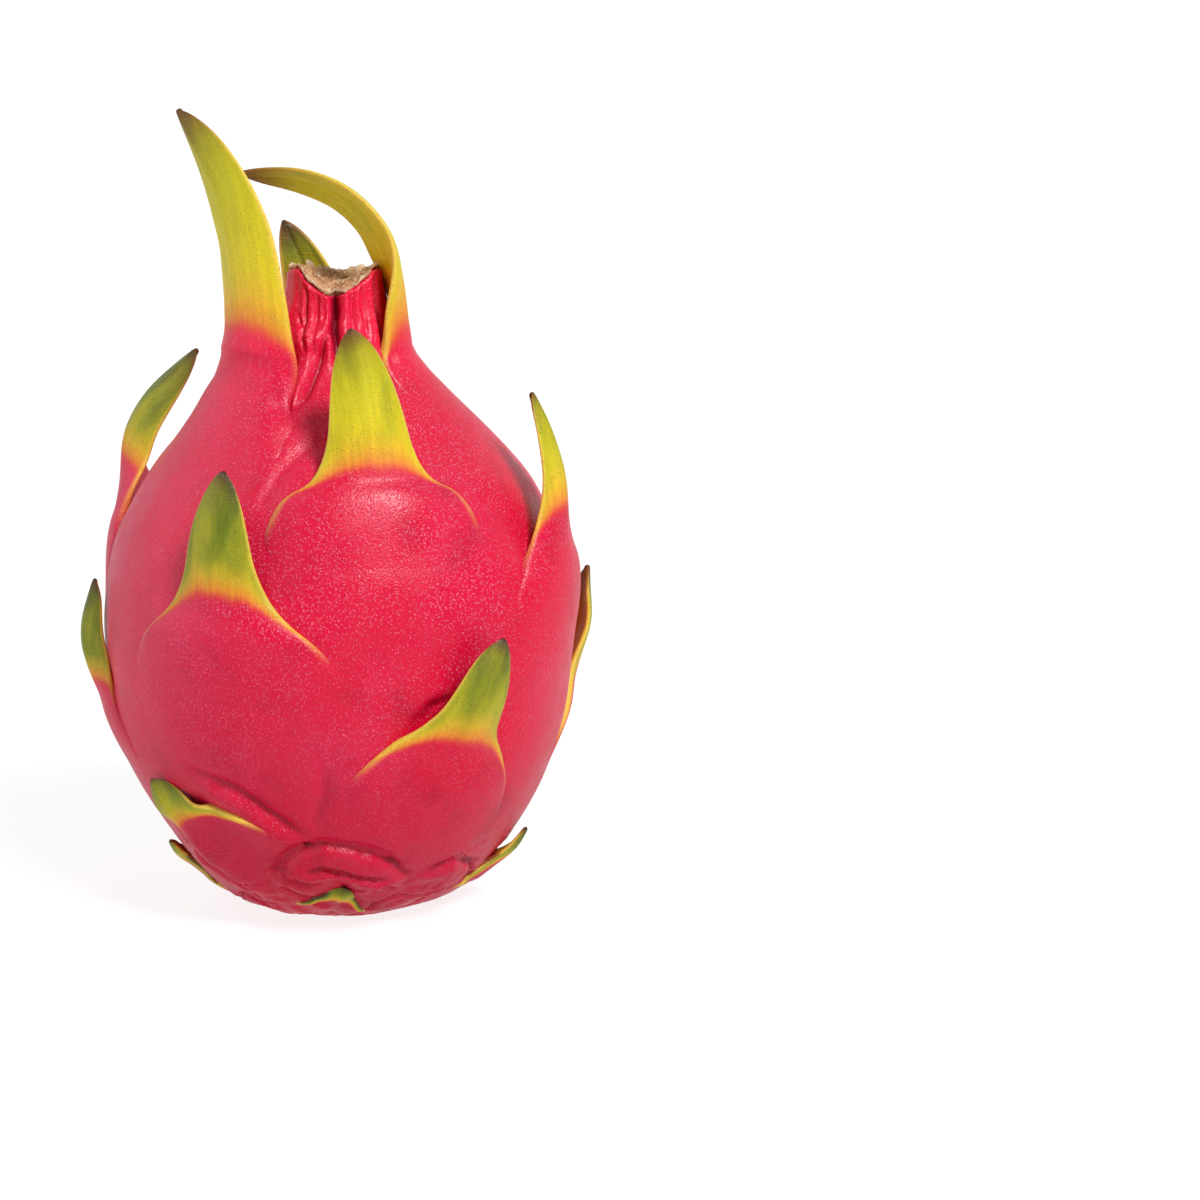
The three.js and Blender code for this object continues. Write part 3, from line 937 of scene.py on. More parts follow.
@dataclass(frozen=True)
class BractFinish:
    """Waxy leaf skin that ripens from a red foot through yellow to green, with a dry brown tip.

    Attributes:
        side: The face that it covers.
        lime: The colours of a lit bract, by ripeness from 0 to 1.
        olive: Darker, greener copies of them, blended in as painted shade where a bract stands in shade.
        edge: The thin line along both edges.
        tip_edge: That line near the tip.
    """

    side: BractSide
    lime: Stops
    olive: Stops
    edge: Colour = paint(246, 206, 84)
    tip_edge: Colour = paint(158, 92, 40)

    def material(self, rind: RindFinish) -> Material:
        """Return the finish, with the rind's own colour at the bract's foot.

        Args:
            rind: The finish of the rind that the bract grows from.

        Returns:
            The material for this side of the bracts.
        """
        wiring = Wiring(self.side.value)
        skin, dots = rind.colour(wiring)
        along = wiring.node("UVMap", uv_map="Blade").outputs["UV"]
        streaks = wiring.grain(wiring.scaled(along, (1.0, 0.05, 1.0)), 0.8, 3.0)
        broad = wiring.grain(wiring.scaled(along, (1.0, 0.3, 1.0)), 5.0, 3.0)
        ripeness = wiring.reading("ripeness")
        wandering = wiring.sum("MULTIPLY_ADD", broad, 0.12, wiring.sum("SUBTRACT", ripeness, 0.06))
        wandering = wiring.sum("MULTIPLY_ADD", streaks, 0.04, wiring.sum("SUBTRACT", wandering, 0.02))
        # Painted shade: each bract's shade blends its lime colours towards olive, varied at random along the
        # blade.
        shade = wiring.sum("ADD", wiring.reading("shade"), wiring.eased(broad, 0.35, 0.7, -0.2, 0.25))
        greens = (wiring.ramp(wandering, self.lime), wiring.ramp(wandering, self.olive))
        leaf = wiring.blend(wiring.clamped(shade), *greens)
        lines = wiring.eased(streaks, 0.4, 0.66, 0.94, 1.05)
        leaf = wiring.node("HueSaturation", {"Color": leaf, "Value": lines}).outputs[0]
        freckles = wiring.eased(wiring.grain(wiring.object_places(), 1.4, 4.0), 0.71, 0.76, 0.0, 0.5)
        leaf = wiring.blend(freckles, leaf, self.tip_edge)
        colour = wiring.blend(wiring.eased(wandering, 0.02, 0.2), skin, leaf)
        edge = wiring.reading("edge")
        near_tip = wiring.eased(ripeness, 0.78, 0.97)
        line = wiring.blend(near_tip, self.edge, self.tip_edge)
        colour = wiring.blend(edge, colour, line)
        leaf_rough = wiring.eased(streaks, 0.3, 0.7, 0.44, 0.54)
        from_skin = {0: wiring.eased(wandering, 0.02, 0.2), 2: rind.roughness(wiring), 3: leaf_rough}
        rough = wiring.node("Mix", from_skin)
        normal = wiring.bump(streaks, 0.05, rind.skin(wiring, dots))
        return wiring.dress(FLESH, Base_Color=colour, Roughness=rough.outputs[0], Normal=normal)


# The lime ramps are the bracts' lit colours; the olive ones are darker, greener copies used as painted
# shade.
LIME_OUTER = (
    (0.0, paint(224, 26, 56)),
    (0.1, paint(236, 84, 46)),
    (0.2, paint(240, 150, 44)),
    (0.34, paint(240, 192, 34)),
    (0.5, paint(228, 206, 20)),
    (0.72, paint(204, 195, 10)),
    (0.88, paint(180, 168, 12)),
    (0.95, paint(140, 112, 24)),
    (1.0, paint(96, 48, 26)),
)
OLIVE_OUTER = (
    (0.0, paint(206, 20, 44)),
    (0.1, paint(224, 72, 34)),
    (0.2, paint(228, 142, 28)),
    (0.34, paint(196, 168, 18)),
    (0.5, paint(140, 146, 12)),
    (0.72, paint(106, 120, 14)),
    (0.88, paint(92, 100, 22)),
    (0.95, paint(80, 72, 32)),
    (1.0, paint(66, 40, 28)),
)
LIME_INNER = (
    (0.0, paint(206, 10, 22)),
    (0.12, paint(232, 66, 6)),
    (0.26, paint(250, 150, 10)),
    (0.42, paint(250, 202, 20)),
    (0.62, paint(230, 212, 32)),
    (0.84, paint(206, 202, 34)),
    (0.95, paint(146, 112, 24)),
    (1.0, paint(92, 48, 26)),
)
OLIVE_INNER = (
    (0.0, paint(190, 14, 24)),
    (0.12, paint(214, 62, 10)),
    (0.26, paint(220, 118, 10)),
    (0.42, paint(180, 152, 12)),
    (0.62, paint(128, 142, 14)),
    (0.84, paint(94, 112, 20)),
    (0.95, paint(80, 64, 28)),
    (1.0, paint(62, 38, 26)),
)


@dataclass(frozen=True)
class DryFinish:
    """Dry, fibrous brown tissue with a paler papery edge."""

    dark: Colour = paint(168, 114, 76)
    tan: Colour = paint(218, 170, 128)
    paper: Colour = paint(250, 230, 198)

    def material(self) -> Material:
        """Mix the finish for the dry end of the flower tube.

        Returns:
            The material, which is palest along the torn lip.
        """
        wiring = Wiring("dry_tissue")
        places = wiring.object_places()
        fibres = wiring.grain(wiring.scaled(places, (1.0, 0.3, 1.0)), 0.5, 4.0)
        lumps = wiring.grain(places, 2.4, 4.0)
        colour = wiring.blend(wiring.eased(lumps, 0.35, 0.65), self.dark, self.tan)
        colour = wiring.blend(wiring.eased(fibres, 0.5, 0.7, 0.0, 0.7), colour, self.paper)
        colour = wiring.blend(wiring.eased(wiring.reading("papery"), 0.3, 1.0), colour, self.paper)
        rough = wiring.eased(lumps, 0.3, 0.7, 0.78, 0.95)
        normal = wiring.bump(fibres, 0.35, wiring.bump(lumps, 0.6))
        return wiring.dress({"Specular IOR Level": 0.3}, Base_Color=colour, Roughness=rough, Normal=normal)


@dataclass(frozen=True)
class FloorFinish:
    """Pale studio sweep that is lit from below as well, so that shadows on it stay faint."""

    white: Colour = paint(134, 134, 134)
    off_white: Colour = paint(130, 130, 131)
    glow: float = 0.84

    def material(self) -> Material:
        """Mix the floor's finish.

        Returns:
            The material.
        """
        wiring = Wiring("studio_floor")
        cloud = wiring.grain(wiring.object_places(), 400.0, 2.0)
        colour = wiring.blend(cloud, self.white, self.off_white)
        rough = wiring.eased(cloud, 0.3, 0.7, 0.7, 0.8)
        constants = {
            "Specular IOR Level": 0.2,
            "Emission Color": paint(255, 255, 255),
            "Emission Strength": self.glow,
        }
        return wiring.dress(constants, Base_Color=colour, Roughness=rough)


# ---- Body ----


@dataclass
class FruitBody:
    """The rind with the flesh in it, as one closed skin that is open at the neck's cup.

    Attributes:
        rind: The surface that it follows.
        segments: Segments round the fruit.
        pitch: Length of a segment along the outline.
        wall: The neck's wall round the cup.
        cup_depth: How deep the cup is below the neck's rim.
    """

    rind: Rind
    segments: int = 340
    pitch: float = 0.62
    wall: float = 1.4
    cup_depth: float = 4.0

    # Rings under the foot, as shares of the flat spot's radius, and the rim's crest.
    FOOT_SHARES = (0.0, 0.3, 0.6, 0.85)
    CREST = 0.35
    # How far from the side and from the cup a point may lie and still belong to it.
    SIDE_MARGIN = 0.15
    CUP_MARGIN = 1.0
    # The depth of fold from which the painted shade in the creases is darkest.
    DARKEST_FOLD = 1.8

    def outline(self) -> Array:
        """Draw the whole outline, from the foot's middle to the cup's.

        Returns:
            Its (radius, height) rows.
        """
        rind = self.rind
        arcs = np.linspace(0.0, rind.arcs[-1], round(rind.arcs[-1] / self.pitch))
        side = np.column_stack([rind.radius_at(arcs), rind.height_at(arcs)])
        foot = [(rind.rest_radius * share, 0.0) for share in self.FOOT_SHARES]
        inside = rind.neck_radius - self.wall
        crest = rind.neck_top + self.CREST
        floor = rind.neck_top - self.cup_depth
        cup = [
            (mix(rind.neck_radius, inside, 0.2), crest),
            (mix(rind.neck_radius, inside, 0.6), crest + 0.1),
            (inside, crest - 0.3),
            (inside, mix(crest, floor, 0.5)),
            (inside, floor),
            (inside * 0.5, floor),
            (0.0, floor),
        ]
        return np.vstack([foot, side, cup])

    def build(self, finish: RindFinish) -> Piece:
        """Spin the body, then press its relief into it.

        Args:
            finish: What it is dressed in.

        Returns:
            The finished piece.
        """
        rind = self.rind
        body = spun_skin("fruit_rind", self.outline(), self.segments)
        places = places_of(body)
        azimuth = np.arctan2(places[:, 1], places[:, 0])
        radius = np.hypot(places[:, 0], places[:, 1])
        height = places[:, 2]
        arc = rind.arc_at(np.clip(height, 0.0, rind.neck_top))
        on_side = radius > rind.radius_at(arc) - self.SIDE_MARGIN
        on_side &= (height > 0.001) & (height <= rind.neck_top)
        moved = places.copy()
        moved[on_side] = rind.place(azimuth[on_side], arc[on_side], 0.0)
        in_cup = (height > rind.neck_top - self.cup_depth - self.CUP_MARGIN) & ~on_side
        top = np.full(in_cup.sum(), rind.arcs[-1])
        rim = rind.place(azimuth[in_cup], top, 0.0)
        pull = np.hypot(rim[:, 0], rim[:, 1]) / rind.neck_radius
        moved[in_cup, :2] = places[in_cup, :2] * pull[:, None]
        moved[in_cup, 2] = height[in_cup] - rind.rim_drop(azimuth[in_cup])
        folds = np.zeros(len(places))
        folds[on_side] = rind.folds(azimuth[on_side], arc[on_side])
        move_points(body, moved)
        # The fold reading darkens the rind's colour in its creases as painted shade.
        add_reading(body, "fold", np.clip(-folds / self.DARKEST_FOLD, 0.0, 1.0))
        body.data.materials.append(finish.material())
        return body


# ---- Bracts ----


@dataclass(frozen=True)
class Bract:
    """A leaf-like bract: a raised shoulder on the rind, and a free blade above its seat.

    Attributes:
        name: The frame's node that it stands for.
        azimuth: Where it stands, anticlockwise from +X, seen from above.
        root: Height of its foot, as a share of the height to the neck.
        shoulder: Length of the shoulder, from the foot to the seat.
        proud: How far the seat stands out from the rind.
        blade: Length of the blade.
        half: Half widths: of the blade, at the seat and of the flare at the foot.
        lean: Degrees out from upright at the tip.
        bend: Where along the blade it turns to that lean, from and to.
        tilt: Degrees that it leans round the fruit, at the foot and at the tip.
        twist: Degrees that the blade turns about its midline by the tip.
        thick: The blade's thickness in the middle, near the seat.
        ripens: Where the red ends and how long the yellow is, in millimetres above the seat.
        shade: Painted shade, from 0, lime, for a lit bract, to 1, olive, for one in shade.
        lead: How much lower the colour starts at its edges than in its middle.
        line_end: The s at which the pale line along its edges has died away.
    """

    name: str
    azimuth: float
    root: float
    shoulder: float
    proud: float
    blade: float
    half: Triple
    lean: float
    bend: Pair = (0.0, 1.0)
    tilt: Pair = (0.0, 0.0)
    twist: float = 0.0
    thick: float = 2.8
    ripens: Pair = (3.0, 8.0)
    shade: float = 0.3
    lead: float = 7.0
    line_end: float = -0.65

    # The sheet's grid, and the stations of its midline below the seat and above it.
    COLUMNS = 14
    SHOULDER_ROWS = 18
    BLADE_PITCH = 1.5
    FEWEST_ROWS = 8
    EDGE_CROWDING = 0.35
    STATIONS = 240
    # The foot: how far it runs out below the root, how deep it is sunk there and how it widens.
    RUN_OUT = 0.5
    LOWEST = 0.6
    BURIED = 0.1
    ROOT_THICK = 1.4
    FLARE_EASE = 2.15
    # The shoulder: where its swell starts, and the ridges along its edges.
    SWELL_FROM = 1.4
    RIDGE_HEIGHT = 1.4
    FULL_RIDGE_SEAT = 9.0
    # The seat: how far in the blade may start to lean, and how soon its width has died away.
    SEAT_LEAN = -12.0
    SEAT_SPREAD = 0.22
    # The blade: its taper, its cupping and midrib, its edges' thickness and its slow waves.
    TAPER = (2.8, 0.67)
    LEAST_HALF = 0.25
    CUP = 0.38
    MIDRIB = 0.3
    MIDRIB_SHARE = 0.16
    EDGE_THICK = 0.9
    EDGE_POWER = 2.5
    THINNING = (0.55, 0.4)
    WAVE = 0.35
    WAVE_SIZE = 9.0
    # The s by which the sheet is out of the rind, and from and to which it twists, comes free and thins.
    SURFACED = -0.55
    TWISTS = (-0.08, 0.42)
    FREED = (-0.35, 0.4)
    THINS = (-0.15, 0.18)
    # The colour: how its margins lead, where on the ripeness scale it changes, and the edge's line.
    LEAD_POWER = 6
    LEAD_SPREAD = 0.35
    LEAD_ENDS = (0.15, 0.6)
    RED_ENDS = 0.1
    YELLOW_ENDS = 0.5
    TIP_FROM = 0.95
    TIP_RIPENESS = 0.98
    LINE_FROM = 0.94
    LINE_STRENGTH = 0.8
    # The rise under the shoulder and the dip behind the blade: the share of a width, and the most.
    RISE = (0.09, 1.9)
    DIP = (0.13, 1.4)

    def half_width(self, s: float) -> float:
        """Work out the half width.

        Args:
            s: Where along the bract: -1 at the foot, 0 at the seat and 1 at the tip.

        Returns:
            The half width there, in millimetres.
        """
        blade, seat, flare = self.half
        if s < 0:
            down = min(-s, 1.0)
            return seat + (flare - seat) * (1 - (1 - down) ** self.FLARE_EASE)
        waist, point = self.TAPER
        tapering = blade * (1 - s**waist) ** point
        from_seat = (seat - blade) * math.exp(-s / self.SEAT_SPREAD) * (1 - s)
        return max(tapering + from_seat, self.LEAST_HALF)

    def run(self, below: int, above: int) -> Array:
        """Return values of s from the foot's run-out to the tip, so many below the seat and above it."""
        low = np.linspace(-1 - self.RUN_OUT, 0, below + 1)
        return np.concatenate([low, np.linspace(0, 1, above + 1)[1:]])

    def midline(self, rind: Rind) -> dict[str, Array]:
        """Climb the rind from the foot to the seat, and leave it along the blade.

        Args:
            rind: The surface that the bract stands on.

        Returns:
            Arrays by name, one row for each station: s, tilt, place, across and outward.
        """
        foot_tilt, tip_tilt = np.radians(self.tilt)
        seat_rise = math.atan(2 * self.proud / self.shoulder)
        stations = self.run(self.STATIONS, self.STATIONS)
        angle = math.radians(self.azimuth)
        height = self.root * rind.shoulder
        height -= self.RUN_OUT * self.shoulder * math.cos(rind.lean_at(rind.arc_at(height)))
        height = max(height, self.LOWEST)
        angle -= self.RUN_OUT * self.shoulder * math.sin(foot_tilt) / rind.radius_at(rind.arc_at(height))
        place = Vector()
        seat_lean = 0.0
        rows: dict[str, list] = {key: [] for key in ("s", "tilt", "place", "across", "outward")}
        for i, s in enumerate(stations):
            step = stations[min(i + 1, len(stations) - 1)] - s
            step *= self.shoulder if s < 0 else self.blade
            tilt = mix(foot_tilt, tip_tilt, max(s, 0.0))
            out = Vector((math.cos(angle), math.sin(angle), 0))
            around = Vector((-math.sin(angle), math.cos(angle), 0))
            arc = rind.arc_at(height)
            if s <= 0:
                stand = self.proud * max(1 + s / self.SWELL_FROM, 0.0) ** 2
                place = out * (rind.radius_at(arc) + stand)
                place.z = height
                seat_lean = max(rind.lean_at(arc) + seat_rise, math.radians(self.SEAT_LEAN))
            lean = rind.lean_at(arc)
            if s >= 0:
                lean = mix(seat_lean, math.radians(self.lean), float(smooth(s, *self.bend)))
            up = Vector((0, 0, math.cos(lean))) + out * math.sin(lean)
            rise = up * math.cos(tilt) + around * math.sin(tilt)
            across = around * math.cos(tilt) - up * math.sin(tilt)
            turn = math.radians(self.twist) * float(smooth(s, *self.TWISTS))
            outward = across.cross(rise)
            across, outward = (
                across * math.cos(turn) - outward * math.sin(turn),
                outward * math.cos(turn) + across * math.sin(turn),
            )
            for key, value in zip(rows, (s, tilt, tuple(place), tuple(across), tuple(outward))):
                rows[key].append(value)
            if s < 0:
                height += step * rise.z
                angle += step * math.sin(tilt) / rind.radius_at(arc)
            else:
                place = place + rise * step
        return {key: np.array(value) for key, value in rows.items()}

    def seat(self, rind: Rind) -> tuple[float, float]:
        """Find the seat.

        Args:
            rind: The surface that the bract stands on.

        Returns:
            Its azimuth, in radians, and how far up the outline it is.
        """
        line = self.midline(rind)
        place = line["place"][np.argmin(np.abs(line["s"]))]
        return math.atan2(place[1], place[0]), float(rind.arc_at(place[2]))

    def swellings(self, rind: Rind) -> list[Swelling]:
        """Work out what the bract does to the rind.

        Args:
            rind: The surface that the bract stands on.

        Returns:
            The rise under the shoulder and the dip behind the blade.
        """
        azimuth, arc = self.seat(rind)
        _, seat, flare = self.half
        rise = min(self.RISE[0] * flare, self.RISE[1])
        dip = -min(self.DIP[0] * seat, self.DIP[1])
        return [
            Swelling(
                azimuth=azimuth,
                arc=arc - 0.6 * self.shoulder,
                half_width=0.95 * flare,
                half_length=1.1 * self.shoulder,
                rise=rise,
                owner=self.name,
            ),
            Swelling(
                azimuth=azimuth,
                arc=arc + 0.25 * self.shoulder,
                half_width=1.15 * seat,
                half_length=0.35 * self.shoulder,
                rise=dip,
                owner=self.name,
            ),
        ]

    def rows(self) -> Array:
        """Return the s of each row of the sheet."""
        return self.run(self.SHOULDER_ROWS, max(round(self.blade / self.BLADE_PITCH), self.FEWEST_ROWS))

    @staticmethod
    def _read(line: dict[str, Array], s: float) -> dict[str, Array]:
        """Return what a midline's arrays say at s."""
        return {
            key: np.array([np.interp(s, line["s"], column) for column in np.atleast_2d(value.T)])
            for key, value in line.items()
        }

    def row_places(self, rind: Rind, line: dict[str, Array], s: float, u: Array) -> tuple[Array, Array]:
        """Work out one row of the bract's outer face.

        Args:
            rind: The surface that the bract stands on.
            line: The bract's midline.
            s: Where the row is along it.
            u: The row's points across it, from -1 to 1.

        Returns:
            The row's places, and the thickness of the bract at each.
        """
        read = self._read(line, s)
        place, across, outward = read["place"], read["across"], read["outward"]
        tilt = read["tilt"][0]
        half = self.half_width(s)
        # On the rind: a shoulder that is proud in the middle and has a low ridge along each edge.
        angle = math.atan2(place[1], place[0])
        arc = float(rind.arc_at(place[2]))
        radius = float(rind.radius_at(arc))
        proud = (math.hypot(place[0], place[1]) - radius) * math.cos(rind.lean_at(arc))
        ridge = self.RIDGE_HEIGHT * float(smooth(s, self.line_end - 0.35, min(self.line_end + 0.75, 0.1)))
        ridge *= min(1.0, self.half[1] / self.FULL_RIDGE_SEAT)
        to_edge = np.abs(u) ** self.EDGE_POWER
        surfacing = smooth(s, -1 - self.RUN_OUT, self.SURFACED)
        lift = mix(-self.BURIED, mix(proud, ridge, to_edge), surfacing)
        on_rind = rind.place(
            angle + u * half * math.cos(tilt) / radius,
            np.clip(arc - u * half * math.sin(tilt), 0.5, None),
            lift,
            self.name,
        )
        # Above the seat: a free blade, cupped towards the fruit, with a faint midrib.
        level = np.ones(u.shape)
        flat = np.column_stack([u * half, level * s * self.blade, level * self.azimuth])
        wave = self.WAVE * grain(flat, self.WAVE_SIZE)
        stand = self.MIDRIB * hill(u, self.MIDRIB_SHARE) - self.CUP * half * u * u + wave
        free = place + across * (half * u)[:, None] + outward * stand[:, None]
        places = mix(on_rind, free, float(smooth(s, *self.FREED)))
        middle, edge = (1 - thinning * max(s, 0.0) for thinning in self.THINNING)
        blade_thick = mix(self.thick * middle, self.EDGE_THICK * edge, to_edge)
        rooted = np.abs(lift) + self.ROOT_THICK
        return places, mix(rooted, blade_thick, float(smooth(s, *self.THINS)))

    def ripeness(self, s: float, u: Array) -> Array:
        """Work out how far the colour has gone at a row.

        Args:
            s: Where the row is.
            u: The row's points across it, from -1 to 1.

        Returns:
            The ripeness at each point, from 0, red, to 1, the tip's brown.
        """
        red_end, yellow = self.ripens
        length = self.shoulder if s < 0 else self.blade
        margin = self.lead * (np.abs(u) ** self.LEAD_POWER + self.LEAD_SPREAD * u * u)
        margin *= float(smooth(s, self.line_end - 0.25, self.line_end + 0.35))
        margin *= 1 - float(smooth(s, *self.LEAD_ENDS))
        climb = s * length - red_end + margin
        low = mix(self.RED_ENDS, self.YELLOW_ENDS, climb / yellow)
        rest = max(self.blade - red_end - yellow, 1.0)
        high = mix(self.YELLOW_ENDS, 1.0, (climb - yellow) / rest)
        joined = np.where(climb < yellow, low, high)
        last = smooth(s, self.TIP_FROM, 1.0)
        return np.clip(mix(joined, np.maximum(joined, self.TIP_RIPENESS), last), 0.0, 1.0)

    def edge_line(self, s: float, u: Array) -> Array:
        """Work out how much of the edge's thin line shows at a row.

        Args:
            s: Where the row is.
            u: The row's points across it, from -1 to 1.

        Returns:
            A share from 0 to 1 for each point.
        """
        shown = smooth(s, self.line_end - 0.15, self.line_end + 0.3)
        return smooth(np.abs(u), self.LINE_FROM, 1.0) * shown * self.LINE_STRENGTH

    def build(self, rind: Rind, outer: Material, inner: Material) -> Piece:
        """Shape a flat grid into the bract, thicken it and round it.

        Args:
            rind: The surface that it stands on.
            outer: The finish of its outer face.
            inner: The finish of its inner face.

        Returns:
            The finished piece.
        """
        rows = self.rows()
        clear_bench()
        bpy.ops.mesh.primitive_grid_add(x_subdivisions=self.COLUMNS, y_subdivisions=len(rows) - 1, size=2)
        bract = bpy.context.object
        bract.name = bract.data.name = self.name + "_leaf"
        flat = places_of(bract) * MM
        column_of = np.round((flat[:, 0] + 1) / 2 * self.COLUMNS).astype(int)
        row_of = np.round((flat[:, 1] + 1) / 2 * (len(rows) - 1)).astype(int)
        u = np.linspace(-1, 1, self.COLUMNS + 1)
        u = mix(u, np.sin(u * math.pi / 2), self.EDGE_CROWDING)
        line = self.midline(rind)
        shape = [self.row_places(rind, line, s, u) for s in rows]
        places = np.array([row[0] for row in shape])
        thick = np.array([row[1] for row in shape])
        move_points(bract, places[row_of, column_of])
        lengths = np.where(rows < 0, rows * self.shoulder, rows * self.blade)
        halves = np.array([self.half_width(s) for s in rows])
        readings = {
            "ripeness": np.array([self.ripeness(s, u) for s in rows]),
            "edge": np.array([self.edge_line(s, u) for s in rows]),
            "shade": np.full(places.shape[:2], self.shade),
        }
        for name, values in readings.items():
            add_reading(bract, name, values[row_of, column_of])
        self._lay_out(bract, u[column_of] * halves[row_of], lengths[row_of])
        self._thicken(bract, thick[row_of, column_of])
        bract.data.materials.append(outer)
        bract.data.materials.append(inner)
        apply_modifiers(bract)
        bpy.ops.object.shade_smooth()
        return bract

    def _lay_out(self, bract: Piece, across: Array, along: Array) -> None:
        """Give the sheet a UV map that is its own flat size, in metres.

        Args:
            bract: The sheet.
            across: How far across it each point is.
            along: How far along it each point is.
        """
        layer = bract.data.uv_layers[0]
        layer.name = "Blade"
        points = np.empty(len(bract.data.loops), dtype=int)
        bract.data.loops.foreach_get("vertex_index", points)
        flat = np.column_stack([across[points], along[points] + 3 * self.azimuth]) * MM
        layer.data.foreach_set("uv", flat.ravel())

    def _thicken(self, bract: Piece, thick: Array) -> None:
        """Add the modifiers that give the sheet its thickness and round it.

        Args:
            bract: The sheet.
            thick: How thick it is at each point.
        """
        most = float(thick.max())
        group = bract.vertex_groups.new(name="thickness")
        for i, value in enumerate(thick):
            group.add([i], value / most, "REPLACE")
        shell = bract.modifiers.new("shell", "SOLIDIFY")
        shell.thickness = most * MM
        shell.offset = -1.0
        shell.vertex_group = group.name
        shell.use_even_offset = False
        shell.material_offset = 1
        rounding = bract.modifiers.new("rounding", "SUBSURF")
        rounding.levels = rounding.render_levels = 1


BRACTS = (
    Bract(
        "crown_bract_tall", azimuth=-143, root=0.79, shoulder=20, proud=6, blade=57.5,
        half=(10.4, 12, 20), lean=14, tilt=(3, -34), thick=3.2, ripens=(12.5, 12), shade=0.0, lead=8,
        line_end=0.12,
    ),
    Bract(
        "crown_bract_arched", azimuth=-12, root=0.89, shoulder=15, proud=2.4, blade=57,
        half=(6.4, 7, 11), lean=-92, bend=(0.08, 0.95), tilt=(0, 2), twist=42, ripens=(3, 14),
        shade=0.0, lead=5, line_end=-0.3,
    ),
    Bract(
        "crown_bract_back", azimuth=94, root=0.82, shoulder=15, proud=4.4, blade=33,
        half=(6.4, 8, 13), lean=-4, tilt=(6, 26), thick=2.6, ripens=(3, 10), shade=0.75,
    ),
    Bract(
        "shoulder_bract_front", azimuth=-75, root=0.67, shoulder=17, proud=5, blade=29.5,
        half=(7.4, 11.4, 22), lean=-6, tilt=(0, -14), thick=3, ripens=(1.4, 8.5), shade=0.15,
    ),
    Bract(
        "shoulder_bract_right", azimuth=52, root=0.48, shoulder=16, proud=3.5, blade=23,
        half=(6.6, 10, 19), lean=-32, tilt=(0, 10), shade=0.5,
    ),
    Bract(
        "shoulder_bract_left", azimuth=166, root=0.545, shoulder=16, proud=4, blade=38.5,
        half=(8, 9.6, 15), lean=-46, bend=(0, 0.8), tilt=(0, -4), twist=38, ripens=(10, 8),
        shade=0.65, lead=2, line_end=0,
    ),
    Bract(
        "upper_bract_right", azimuth=-17, root=0.5, shoulder=17, proud=3.6, blade=32.2,
        half=(5.6, 13, 20), lean=-26, tilt=(0, -4), ripens=(8, 9), shade=0.35, lead=5, line_end=0.0,
    ),
    Bract(
        "upper_bract_left", azimuth=-113.5, root=0.44, shoulder=17, proud=3.4, blade=28,
        half=(7, 11.8, 24), lean=-12, tilt=(0, 8), ripens=(3.4, 8), shade=0.75, line_end=-0.4,
    ),
    Bract(
        "upper_bract_back", azimuth=108, root=0.4, shoulder=17, proud=3.4, blade=27,
        half=(6.6, 10, 20), lean=-8, tilt=(0, -10), shade=0.4,
    ),
    Bract(
        "belly_bract_left", azimuth=-171, root=0.265, shoulder=14, proud=2.2, blade=24,
        half=(5.4, 8, 15), lean=-14, bend=(0, 0.8), tilt=(0, 4), twist=25, thick=2.4, ripens=(3, 6),
        shade=0.9, lead=2, line_end=0,
    ),
    Bract(
        "belly_bract_right", azimuth=-63.5, root=0.215, shoulder=17, proud=3.4, blade=24.5,
        half=(6.4, 12, 19), lean=-2, bend=(0, 0.8), tilt=(14, 20), ripens=(3, 7), shade=0.7,
        line_end=-0.4,
    ),
    Bract(
        "belly_bract_back_right", azimuth=20, root=0.24, shoulder=16, proud=3.2, blade=23,
        half=(6, 9.5, 19), lean=-4, bend=(0, 0.8), tilt=(0, -8), ripens=(3, 7), shade=0.6,
    ),
    Bract(
        "belly_bract_back_left", azimuth=138, root=0.2, shoulder=16, proud=3.2, blade=22,
        half=(6, 9.5, 19), lean=0, bend=(0, 0.8), tilt=(0, 10), ripens=(3, 7), shade=0.8,
    ),
    Bract(
        "foot_bract_left", azimuth=-116.8, root=0.14, shoulder=13, proud=2.4, blade=13.2,
        half=(5, 8.6, 13), lean=-4, bend=(0, 0.8), tilt=(-46, -38), thick=2.2, ripens=(2, 4),
        shade=0.8,
    ),
    Bract(
        "foot_bract_left_low", azimuth=-168, root=0.03, shoulder=9, proud=1.8, blade=6.6,
        half=(3.4, 5.4, 7.4), lean=24, bend=(0, 0.8), tilt=(8, 10), thick=1.8, ripens=(1, 3),
        shade=0.8,
    ),
    Bract(
        "foot_bract_front", azimuth=-92, root=0.035, shoulder=5, proud=1.4, blade=5.5,
        half=(2.8, 4.4, 7.5), lean=24, bend=(0, 0.8), tilt=(20, 30), thick=1.6, ripens=(1, 2),
        shade=0.9,
    ),
    Bract(
        "foot_bract_right", azimuth=-14, root=0.026, shoulder=9, proud=2, blade=11,
        half=(2.4, 5, 10), lean=30, bend=(0, 0.8), tilt=(0, -10), thick=1.8, ripens=(2, 3),
        shade=1.0,
    ),
    Bract(
        "foot_bract_back_right", azimuth=80, root=0.04, shoulder=12, proud=2.4, blade=13,
        half=(4.6, 7.5, 14), lean=10, bend=(0, 0.8), tilt=(4, 12), thick=2.2, ripens=(2, 4),
        shade=0.8,
    ),
    Bract(
        "foot_bract_back_left", azimuth=136, root=0.022, shoulder=8, proud=1.8, blade=9,
        half=(3.6, 6, 10), lean=24, bend=(0, 0.8), tilt=(0, -10), thick=1.8, ripens=(1, 3),
        shade=0.8,
    ),
)


# ---- Dry end of the flower tube ----


